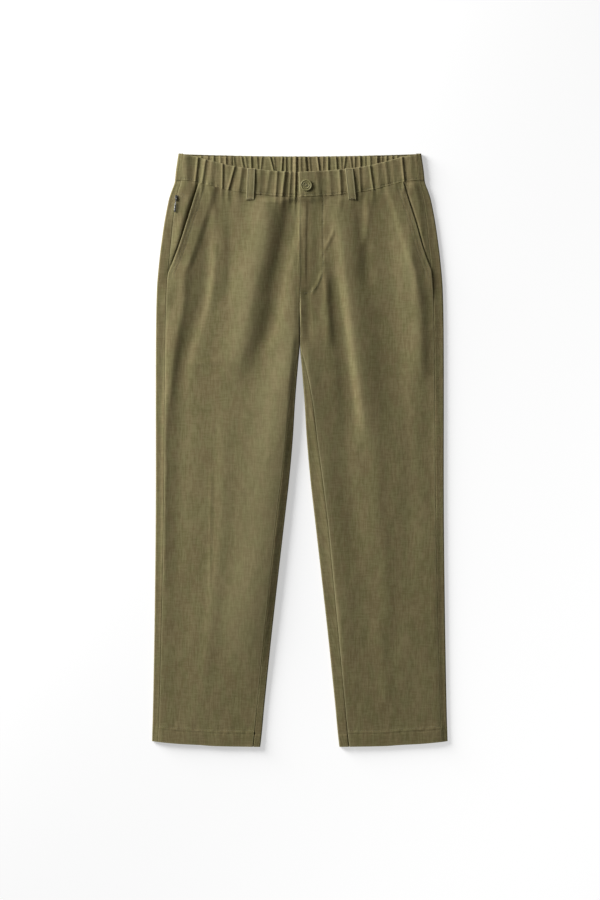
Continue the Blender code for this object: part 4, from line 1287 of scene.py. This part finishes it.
def front_band_surface(side, across, down):
    down = lines(down, BAND_LINES)
    side_drop = mix(band_seam(side_seam(0.0)) - BAND_HEIGHT, band_seam(side_seam(BAND_HEIGHT)), down)
    start = side_seam(side_drop) - SEAM_GAP
    end = BAND_TONGUE if side < 0 else SEAM_GAP / 2 + BAND_LEAN * (1 - down)
    x = mix(-start, end, across) if side < 0 else mix(end, start, across)
    drop = band_seam(x) - BAND_HEIGHT * (1 - down)
    from_end = x - end if side > 0 else 1.0
    ends = roll(start - side * x, SIDE_SEAM_RADIUS) + roll(from_end, BAND_EDGE)
    # the pleats' crests are painted paler: painted highlight, partly rubbed wear
    paling = PLEAT_HIGHLIGHT_AND_WEAR * np.clip(band_pleats(x, down), 0.0, PLEAT_HIGHLIGHT_RANGE)
    paling = paling + BAND_TOP_WEAR * edge_wear_and_highlight(down * BAND_HEIGHT)
    # painted highlight on the right band's end, which faces the lamp, partly rubbed wear
    paling = paling + BAND_END_WEAR_AND_HIGHLIGHT * edge_wear_and_highlight(from_end, BAND_END_REACH)
    return x, drop, front_band_top(side, x, down) - ends, x, paling


front_bands = pair("front_waistband", 420, 34, front_band_surface, linen_narrow, BAND_SHELL)

# %% [markdown]
# ## Belt loops
#
# A belt loop is a folded strip, stitched along both edges and tacked down at both ends. The front ones
# arch a little over the band. The back ones lie flat between the band and the table.

# %% Belt loops
LOOP_SETTLE = 0.005
LOOP_END = 0.0011
LOOP_STITCH = LOOP_WIDTH / 2 - 0.0026
LOOP_GROOVE = 0.25 * MM
LOOP_LINES = ((0, 0), (0.3, 0.12), (0.7, 0.88), (1, 1))
LOOP_MARGIN = 0.0012  # between the ends of a back loop and the edges of the band
LOOP_EDGE = 0.0004
LOOP_WEAR = 0.8
LOOP_WEAR_EVEN = 0.15
BACK_LOOP_WEAR = 0.5


def loop_base(loop, share):
    """Centre, drop and height of what carries a front loop, from its top end to its lower end."""
    side = -1 if loop.hand == "left" else 1
    centre = mix(loop.top, loop.bottom, share) * MM
    seam = band_seam(centre)
    drop = seam - BAND_HEIGHT + (BAND_HEIGHT + LOOP_BELOW) * share
    lowered = ease((drop - seam - SEAM_GAP) / LOOP_SETTLE)
    band = BAND_UNDER + BAND_CLOTH + (front_band_lap(centre) if side > 0 else 0.0)
    panel = loft(centre, drop) + np.maximum(furrows(centre, drop), 0.0)
    return centre, drop, mix(band, panel, lowered)


def loop_top(loop, away, share):
    """Height of a front loop's face at a distance from its centre line."""
    _, _, base = loop_base(loop, share)
    length = BAND_HEIGHT + LOOP_BELOW
    ends = roll(share * length, LOOP_END) + roll((1 - share) * length, LOOP_END)
    edges = roll(LOOP_WIDTH / 2 - np.abs(away), EDGE_RADIUS)
    seams = LOOP_GROOVE * bell(np.abs(away) - LOOP_STITCH, GROOVE_WIDTH)
    return base + LAY_GAP + LOOP_CLOTH + LOOP_ARCH * np.sin(pi * share) - ends - edges - seams


def front_loop_surface(loop, across, down):
    across, down = lines(across, LOOP_LINES), lines(down, LOOP_LINES)
    centre, drop, _ = loop_base(loop, down)
    away = LOOP_WIDTH * (across - 0.5)
    paling = LOOP_WEAR * edge_wear_and_highlight(LOOP_WIDTH / 2 - np.abs(away)) + LOOP_WEAR_EVEN
    return centre + away, drop, loop_top(loop, away, down), away, paling


def back_loop_surface(loop_x, across, down):
    away = LOOP_WIDTH * (0.5 - across)
    from_edge = LOOP_WIDTH / 2 - np.abs(away)
    drop = mix(BACK_BAND_DIP + LOOP_MARGIN, BACK_BAND_SEAM - LOOP_MARGIN, down)
    return loop_x + away, drop, roll(from_edge, LOOP_EDGE), away, BACK_LOOP_WEAR * edge_wear_and_highlight(from_edge)


front_loops = {loop.hand: cloth(f"{loop.hand}_front_belt_loop", 26, 60, partial(front_loop_surface, loop),
                                linen_narrow, LOOP_CLOTH) for loop in FRONT_LOOPS}
back_loops = {where: cloth(f"{where}_back_belt_loop", 20, 16, partial(back_loop_surface, loop_x),
                           linen_narrow, LOOP_CLOTH) for where, loop_x in BACK_LOOPS}

# %% [markdown]
# ## Stitching
#
# The sewing is cotton thread of the same colour, a little smoother than the linen, so it catches more
# light. Each stitch is one small rounded bead of thread, stretched along its row and pressed into the
# cloth. A row is any path of points, and a helper walks along it and sets a stitch every three
# millimetres.

# %% Thread material
THREAD_COLOUR = (0.215, 0.193, 0.100)
THREAD_SHADE = (0.135, 0.118, 0.056)
TWIST = 2600.0


def thread_material():
    shop = Workshop("thread")
    ply = shop.noise(shop.place(), TWIST, detail=1.0)
    shop.set(Base_Color=shop.mix_colours(ply, THREAD_SHADE, THREAD_COLOUR), Roughness=0.62,
             Sheen_Weight=0.15)
    return shop.material


thread = thread_material()

# %% Stitch helper
STITCH_LENGTH = 0.0025
STITCH_PITCH = 0.0033
STITCH_WIDTH = 0.00052
STITCH_SIDES = 6
STITCH_RINGS = 4
STITCH_LIFT = 0.18  # how proud a stitch stands, as a share of its width
ROW_STEP = 0.002  # between the points that a row is read at
TACK_POINTS = 8


def walk(path, pitch):
    """Places and directions at equal steps along a path of points."""
    path = np.asarray(path, float)
    steps = np.linalg.norm(np.diff(path, axis=0), axis=1)
    run = np.concatenate([[0.0], np.cumsum(steps)])
    count = max(int(run[-1] / pitch), 1)
    at = (np.arange(count) + 0.5) * run[-1] / count

    def point(where):
        return np.stack([np.interp(where, run, path[:, axis]) for axis in range(3)], axis=1)

    ahead = point(np.minimum(at + pitch / 4, run[-1])) - point(np.maximum(at - pitch / 4, 0.0))
    return [(Vector(place), Vector(way).normalized()) for place, way in zip(point(at), ahead)]


def sew(name, rows, pitch=STITCH_PITCH, length=STITCH_LENGTH, width=STITCH_WIDTH):
    """Sew rows of stitches as one piece. A row is a list of (x, drop, z) points on the cloth."""
    bm = bmesh.new()
    stitches = 0
    for row in rows:
        x, drop, z = (np.asarray(column, float) for column in zip(*row))
        path = np.stack([x, LENGTH / 2 - drop, z + STITCH_LIFT * width], axis=1)
        for place, way in walk(path, pitch):
            turn = way.to_track_quat("X", "Z").to_matrix().to_4x4()
            size = Matrix.Diagonal((length / 2, width / 2, width / 2, 1.0))
            bmesh.ops.create_uvsphere(bm, u_segments=STITCH_SIDES, v_segments=STITCH_RINGS, radius=1.0,
                                      matrix=Matrix.Translation(place) @ turn @ size)
            stitches += 1
    mesh = finished_mesh(name, bm)
    mesh.shade_smooth()
    piece = add_piece(name, mesh, thread)
    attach(piece, "garment")
    print(f"{name}: {stitches} stitches")
    return piece


def spread(start, end):
    """Places at even small steps from start to end."""
    return np.linspace(start, end, max(int(abs(end - start) / ROW_STEP), 2))


def on_cloth(side, outs, drops, top=front_top):
    """Points on a front panel, or on another piece whose height top gives."""
    return list(zip(side * outs, drops, top(side, outs, drops)))


# %% Topstitching of the waistband, the pockets and the fly
POCKET_TOP = 0.0565
ROW_END = 0.002  # how soon a row stops before an edge or a seam
FLY_FOOT = 0.003  # how near the centre the fly's row ends


def band_row(side):
    start = float(side_seam(BAND_HEIGHT)) - ROW_END
    x = spread(-start, -0.0015) if side < 0 else spread(0.0015, start)
    down = np.full_like(x, 1 - BAND_STITCH / BAND_HEIGHT)
    return list(zip(x, band_seam(x) - BAND_STITCH, front_band_top(side, x, down)))


def pocket_row(side, inset):
    drops = spread(POCKET_TOP, POCKET_END - 2 * ROW_END)
    return on_cloth(side, pocket_mouth(side, drops) - inset, drops)


def fly_row():
    """The J: straight down beside the fly, then round to the centre."""
    straight = spread(float(band_seam(FLY_STITCH)) + ROW_END, FLY_CURVE_DROP)
    angles = np.linspace(0.0, pi / 2, 26)
    drops = np.concatenate([straight, FLY_CURVE_DROP + FLY_DEPTH * np.sin(angles)])
    outs = np.concatenate([np.full_like(straight, FLY_STITCH),
                           FLY_FOOT + (FLY_STITCH - FLY_FOOT) * np.cos(angles)])
    return on_cloth(1, outs, drops)


sew("waistband_topstitching", [band_row(side) for side, _ in HANDS])
sew("pocket_topstitching", [pocket_row(side, inset) for side, _ in HANDS for inset in POCKET_STITCHES])
sew("fly_topstitching", [fly_row()])

# %% [markdown]
# Tacks are short rows of close stitches, which stop a seam from tearing where it is pulled: at the foot
# of the fly, at both ends of a pocket mouth, at the ends of the belt loops and beside the zip.

# %% Tacks
TACK_PITCH = 0.0009
TACK_LENGTH = 0.0022
TACK_WIDTH = 0.00045
LOOP_TACKS = (0.035, 0.955)  # where a belt loop's tacks lie, as shares of its length
LOOP_ROW_ENDS = (0.04, 0.96)  # where its long rows start and end
Tack = namedtuple("Tack", "side out drop end_out end_drop")
TACKS = [Tack(*row) for row in (
    (1, 20.5, 233.5, 7.5, 236.2), (1, 39.5, 181.5, 39.2, 190), (-1, 173.5, 60, 166.5, 61.5),
    (1, 177.5, 60, 170.5, 61.5), (-1, 223.5, 212, 215, 212), (1, 225.5, 212, 217, 212),
)]
ZIP_TACKS = [Tack(*row) for row in (
    # on the pocket facing, beside the zip
    (-1, 206.1, 71.1, 201, 78.7), (-1, 203, 69, 197.5, 76.5), (-1, 199.5, 66.5, 194.5, 73.5),
)]


def tack_row(tack, top=front_top):
    outs = np.linspace(tack.out, tack.end_out, TACK_POINTS) * MM
    return on_cloth(tack.side, outs, np.linspace(tack.drop, tack.end_drop, TACK_POINTS) * MM, top)


def loop_row(loop, away, share):
    """Points on a front loop: how far from its centre line, and at which shares of its length."""
    away, share = np.broadcast_arrays(away, share)
    centre, drop, _ = loop_base(loop, share)
    return list(zip(centre + away, drop, loop_top(loop, away, share)))


across_loop = np.linspace(-LOOP_STITCH, LOOP_STITCH, TACK_POINTS)
loop_tacks = [loop_row(loop, across_loop, share) for loop in FRONT_LOOPS for share in LOOP_TACKS]
tack_rows = [tack_row(tack) for tack in TACKS] + [tack_row(tack, facing_top) for tack in ZIP_TACKS]
sew("tacks", tack_rows + loop_tacks, TACK_PITCH, TACK_LENGTH, TACK_WIDTH)
down_loop = np.linspace(*LOOP_ROW_ENDS, 30)
sew("belt_loop_stitching",
    [loop_row(loop, away, down_loop) for loop in FRONT_LOOPS for away in (-LOOP_STITCH, LOOP_STITCH)])

# %% [markdown]
# The hem is turned up twice and sewn all round each leg. On top the row crosses the front panel, and
# underneath it crosses the back panel, where it lies against the table.

# %% Hem stitching
HEM_LEVEL = LENGTH - HEM_DEPTH


def hem_front_row(side):
    start = float(inside_fold(HEM_LEVEL)) + float(inside_strip(side, HEM_LEVEL)) + ROW_END / 2
    outs = spread(start, float(side_seam(HEM_LEVEL)) - ROW_END / 2)
    return on_cloth(side, outs, hem_edge(outs) - HEM_DEPTH)


def hem_back_row(side):
    outs = spread(float(inside_fold(HEM_LEVEL)) + 2 * ROW_END, float(side_out(HEM_LEVEL)) - 2 * ROW_END)
    drops = hem_edge(outs) - HEM_DEPTH
    return list(zip(side * outs, drops, underside(side * outs, drops)))


sew("hem_stitching", [row(side) for side, _ in HANDS for row in (hem_front_row, hem_back_row)])

# %% [markdown]
# ## Button
#
# The button is a small dish with a raised rim and four holes. It starts from a grid of five by five
# faces: four of them are set in and pushed down for the holes, the outline is pulled round, and its
# border is extruded in rings for the rim. Subdivision then rounds everything, which is how the soft edges
# of a moulded button come about.

# %% Button
button_low, button_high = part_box("button")
BUTTON_RADIUS = (button_high.x - button_low.x) / 2
BUTTON_CENTRE = (button_low + button_high) / 2
HOLE_CELL = 0.168  # half the width of the plate that has the holes, as a share of the radius
RIM = [
    # rings outwards from the plate: radius and height, as shares of the button's radius
    (0.45, 0.105), (0.48, 0.165), (0.62, 0.172), (0.65, 0.080), (0.71, 0.080), (0.76, 0.178), (0.90, 0.190),
    (0.97, 0.155), (1.00, 0.090), (0.97, 0.030), (0.86, 0.000), (0.50, 0.000),
]
DISH = 0.105  # height of the plate with the holes
HOLE_RIM = 0.018
HOLE_STEPS = (0.04, 0.05)
BUTTON_TURN = radians(24)
BUTTON_SUNK = 0.0005  # the band gives way a little under it


def ring_out(bm, rim, radius, height):
    """Extrude a border edge loop into a round ring of a radius, at a height."""
    grown = bmesh.ops.extrude_edge_only(bm, edges=rim)
    verts = [item for item in grown["geom"] if isinstance(item, bmesh.types.BMVert)]
    for vert in verts:
        vert.co = Vector((vert.co.x, vert.co.y, 0)).normalized() * radius
        vert.co.z = height
    return [item for item in grown["geom"] if isinstance(item, bmesh.types.BMEdge)
            and all(vert in verts for vert in item.verts)]


def make_button():
    bm = bmesh.new()
    bmesh.ops.create_grid(bm, x_segments=5, y_segments=5, size=HOLE_CELL * 2.5)
    bmesh.ops.translate(bm, verts=bm.verts, vec=(0, 0, DISH))
    holes = [face for face in bm.faces
             if all(abs(abs(at) - HOLE_CELL) < 0.3 * HOLE_CELL for at in face.calc_center_median().xy)]
    border = [edge for edge in bm.edges if edge.is_boundary]
    for vert in {vert for edge in border for vert in edge.verts}:
        vert.co.xy = vert.co.xy.normalized() * HOLE_CELL * 2.5
    bmesh.ops.inset_individual(bm, faces=holes, thickness=HOLE_RIM, depth=0.0)
    for depth in HOLE_STEPS:
        holes = bmesh.ops.extrude_discrete_faces(bm, faces=holes)["faces"]
        floors = list({vert for face in holes for vert in face.verts})
        bmesh.ops.translate(bm, verts=floors, vec=(0, 0, -depth))
    print("button holes:", len(holes))
    rim = [edge for edge in bm.edges if edge.is_boundary]
    for radius, height in RIM:
        rim = ring_out(bm, rim, radius, height)
    bmesh.ops.contextual_create(bm, geom=rim)
    bmesh.ops.recalc_face_normals(bm, faces=bm.faces)
    place = Matrix.Translation((BUTTON_CENTRE.x, BUTTON_CENTRE.y, button_low.z - BUTTON_SUNK))
    shape = Matrix.Rotation(BUTTON_TURN, 4, "Z") @ Matrix.Scale(BUTTON_RADIUS, 4)
    bmesh.ops.transform(bm, matrix=place @ shape, verts=bm.verts)
    return finished_mesh("sewn_button", bm)


HORN_DARK = (0.132, 0.118, 0.046)
HORN_LIGHT = (0.200, 0.182, 0.082)


def button_material():
    shop = Workshop("dyed_button")
    turned = shop.node("ShaderNodeMapping", inputs={"Vector": shop.place(), "Scale": (90.0, 620.0, 90.0),
                                                    "Rotation": (0.0, 0.0, 0.5)})
    grain = shop.noise(turned, detail=3.0, Distortion=0.6)
    fine = shop.noise(shop.place(), 5200.0)
    shop.set(Base_Color=shop.mix_colours(grain, HORN_DARK, HORN_LIGHT), Roughness=0.46 + 0.2 * fine,
             Normal=shop.bump(fine * (0.02 * MM)), Specular_IOR_Level=0.3)
    return shop.material


button = add_piece("sewn_button", make_button(), button_material())
rounding = button.modifiers.new("rounding", "SUBSURF")
rounding.levels = rounding.render_levels = 3
settle(button)
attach(button, "garment")
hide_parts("button")

# %% [markdown]
# Thread holds the button, in a cross over its four holes.

# %% Button thread
CROSS_ANGLES = (radians(69), radians(-21))
CROSS_REACH = 1.3 * HOLE_CELL * BUTTON_RADIUS
CROSS_HEIGHT = button_low.z - BUTTON_SUNK + (DISH + 0.025) * BUTTON_RADIUS
CROSS_STITCH = (0.0036, 0.0040, 0.0008)  # pitch, length and width of its thread


def cross_row(angle):
    reach = np.array((-CROSS_REACH, 0.0, CROSS_REACH))
    x = BUTTON_CENTRE.x + reach * cos(angle)
    drop = LENGTH / 2 - BUTTON_CENTRE.y - reach * sin(angle)
    return list(zip(x, drop, np.full(3, CROSS_HEIGHT)))


sew("button_thread", [cross_row(angle) for angle in CROSS_ANGLES], *CROSS_STITCH)

# %% [markdown]
# ## Zip
#
# A small metal zip runs down inside the side seam on the left, and only its slider and pull tab show. A
# slider is two plates round a wedge, with a little arch on top, the bail, which the tab swings on. The
# plates start as boxes that are drawn in at one end and bevelled. The bail is a strap spun round the
# hinge, and it stands in the top plate.

# %% Place of the zip
slider_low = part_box("zip_slider")[0]
hinge = next(joint for joint in frame["joints"] if joint["name"] == "zip_tab_hinge")
HINGE = Vector(hinge["pos_m"])
ZIP_TURN = Matrix.Rotation(atan2(-hinge["axis"][1], -hinge["axis"][0]), 4, "Z")
SLIDER_PLACE = Matrix.Translation((HINGE.x, HINGE.y, slider_low.z)) @ ZIP_TURN
BAR_HEIGHT = HINGE.z - slider_low.z
print("hinge bar", round(BAR_HEIGHT / MM, 2), "mm above the cloth")

# %% Slider
PLATE_WIDTH = 5.2 * MM
PLATE_LENGTH = 8.6 * MM
PLATE_THICK = 0.75 * MM
PLATE_GAP = 0.35 * MM  # where the zip's teeth would pass
NOSE_SHARE = 0.62  # width of the lower end, as a share of the upper
BAIL_REACH = 1.8 * MM  # from the bail's middle to the middle of its foot
BAIL_RISE = 1.15 * MM
BAIL_STRAP = (1.5 * MM, 0.7 * MM)
BAIL_SUNK = 0.1 * MM
CORNER = 1.1 * MM
RIM_BEVEL = 0.22 * MM


def add_plate(bm, bottom, length_share=1.0, width_share=1.0):
    """A plate that narrows towards its lower end, with round corners."""
    plate = bmesh.ops.create_cube(bm, size=1.0)["verts"]
    size = (PLATE_WIDTH * width_share, PLATE_LENGTH * length_share, PLATE_THICK)
    bmesh.ops.scale(bm, verts=plate, vec=size)
    bmesh.ops.translate(bm, verts=plate, vec=(0, 0, bottom + PLATE_THICK / 2))
    nose = [vert for vert in plate if vert.co.y < 0]
    bmesh.ops.scale(bm, verts=nose, vec=(NOSE_SHARE, 1, 1))
    upright = [edge for edge in {edge for vert in plate for edge in vert.link_edges}
               if abs(edge.verts[0].co.z - edge.verts[1].co.z) > PLATE_THICK / 2]
    rounded = bmesh.ops.bevel(bm, geom=upright, offset=CORNER * width_share, segments=4, profile=0.5,
                              affect="EDGES", material=-1)
    rims = [edge for edge in {edge for face in rounded["faces"] for edge in face.edges}
            | {edge for vert in rounded["verts"] for edge in vert.link_edges}
            if abs(edge.verts[0].co.z - edge.verts[1].co.z) < 1e-7]
    bmesh.ops.bevel(bm, geom=rims, offset=RIM_BEVEL, segments=3, profile=0.5, affect="EDGES", material=-1)


def make_slider():
    bm = bmesh.new()
    add_plate(bm, 0.0)
    add_plate(bm, PLATE_THICK, 0.55, 0.30)
    add_plate(bm, PLATE_THICK + PLATE_GAP)
    top = 2 * PLATE_THICK + PLATE_GAP
    plates = set(bm.verts)
    strap = bmesh.ops.create_grid(bm, x_segments=1, y_segments=1, size=0.5)["verts"]
    bmesh.ops.scale(bm, verts=strap, vec=(*BAIL_STRAP, 1))
    bmesh.ops.translate(bm, verts=strap, vec=(0, -BAIL_REACH, 0))
    start = list({face for vert in strap for face in vert.link_faces})
    bmesh.ops.spin(bm, geom=start, cent=(0, 0, 0), axis=(1, 0, 0), angle=-pi, steps=14)
    bail = [vert for vert in bm.verts if vert not in plates]
    bmesh.ops.scale(bm, verts=bail, vec=(1, 1, (BAIL_RISE + BAR_HEIGHT - top) / BAIL_REACH))
    bmesh.ops.translate(bm, verts=bail, vec=(0, 0, top - BAIL_SUNK))
    bmesh.ops.holes_fill(bm, edges=[edge for edge in bm.edges if edge.is_boundary])
    bmesh.ops.recalc_face_normals(bm, faces=bm.faces)
    bmesh.ops.transform(bm, matrix=SLIDER_PLACE, verts=bm.verts)
    return finished_mesh("small_zip_slider", bm)


# %% [markdown]
# The pull tab is stamped from sheet metal: an eye that goes round the bail, a narrow neck, and a crowned
# plate to hold. It is one grid whose rows take their widths from a table. The eye is opened by deleting
# faces, then Solidify gives the thickness and two levels of subdivision round it all off.

# %% Pull tab
TabRow = namedtuple("TabRow", "y half crown")
TAB_ROWS = [TabRow(*row) for row in (
    # distance from the hinge, half width and height of the crown, in millimetres
    (0.5, 1.15, 0), (0.38, 1.6, 0), (-0.42, 1.72, 0), (-1.6, 1.75, 0), (-2.75, 1.7, 0), (-3.5, 1.4, 0.05),
    (-4.4, 1, 0.1), (-6.5, 0.92, 0.15), (-8.6, 0.95, 0.15), (-9.6, 1.3, 0.2), (-10.6, 1.72, 0.4),
    (-13, 1.8, 0.55), (-17, 1.8, 0.55), (-21, 1.78, 0.5), (-23.2, 1.6, 0.35), (-24.1, 1.15, 0.2),
    (-24.4, 0.55, 0.1),
)]
TAB_COLUMNS = 6
EYE_SHARE = 0.6  # of the half width, within which the eye is open
EYE_ROWS = (2, 4)
TAB_THICK = 0.7 * MM
TAB_DROOP = Matrix.Rotation(radians(3), 4, "X")


def tab_row(y):
    """Which row of the table a place on the plain grid is at."""
    return (1 - y) / 2 * (len(TAB_ROWS) - 1)


def make_tab():
    bm = bmesh.new()
    bmesh.ops.create_grid(bm, x_segments=TAB_COLUMNS, y_segments=len(TAB_ROWS) - 1, size=1.0)
    centres = {face: face.calc_center_median() for face in bm.faces}
    opened = [face for face, centre in centres.items()
              if EYE_ROWS[0] < tab_row(centre.y) < EYE_ROWS[1] and abs(centre.x) < EYE_SHARE]
    for vert in bm.verts:
        row = TAB_ROWS[round(tab_row(vert.co.y))]
        share = vert.co.x
        vert.co = Vector((share * row.half, row.y, row.crown * (1 - share * share))) * MM
    bmesh.ops.delete(bm, geom=opened, context="FACES")
    bmesh.ops.translate(bm, verts=bm.verts, vec=(0, 0, TAB_THICK / 2))
    bmesh.ops.transform(bm, matrix=Matrix.Translation(HINGE) @ ZIP_TURN @ TAB_DROOP, verts=bm.verts)
    return finished_mesh("small_zip_tab", bm)


# %% [markdown]
# The metal is nickel that has darkened in the wash. Its brushing is a noise stretched along the tab, and
# it gives a very shallow bump and a little of the dulling. Random patches are darker and rougher, where
# dye has settled.

# %% Zip metal and pieces
NICKEL = (0.27, 0.27, 0.26)
NICKEL_DULL = (0.11, 0.105, 0.09)


def nickel():
    shop = Workshop("dulled_nickel")
    place = shop.place()
    brushed = shop.node("ShaderNodeMapping", inputs={"Vector": place, "Scale": (5200.0, 380.0, 5200.0)})
    brush = shop.noise(brushed)
    stains = shop.noise(place, 420.0, 3.0)
    dulled = shop.smooth_step(stains + 0.35 * brush, 0.50, 0.85)
    shop.set(Base_Color=shop.mix_colours(dulled, NICKEL, NICKEL_DULL), Metallic=1.0,
             Roughness=0.24 + 0.22 * stains, Normal=shop.bump(brush * (0.012 * MM)))
    return shop.material


dulled_nickel = nickel()
zip_slider = settle(add_piece("small_zip_slider", make_slider(), dulled_nickel))
zip_tab = add_piece("small_zip_tab", make_tab(), dulled_nickel)
wall = zip_tab.modifiers.new("thickness", "SOLIDIFY")
wall.thickness = TAB_THICK
wall.offset = -1.0
softened = zip_tab.modifiers.new("softened", "SUBSURF")
softened.levels = softened.render_levels = 2
settle(zip_tab)
for piece, body, node in ((zip_slider, "garment", "zip_slider"), (zip_tab, "pull_tab", "zip_tab")):
    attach(piece, body)
    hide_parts(node)
    print(piece.name, "has", len(piece.data.polygons), "faces")

# %% [markdown]
# ## Hiding the imported linen
#
# The imported pieces of linen are hidden, because the grids above stand in for them. Each point of a
# grid keeps its place on the flat cloth. The bands were cut longer than they lie and drawn in by the
# elastic.


def declare(node):
    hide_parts(node)


for _, hand in HANDS:
    declare(f"back_{hand}")
    declare(f"front_{hand}")
    declare(f"pocket_facing_{hand}")
    declare(f"waistband_front_{hand}")
    declare(f"belt_loop_front_{hand}")
declare("waistband_back")
for where, loop in back_loops.items():
    declare(f"belt_loop_back_{where}")
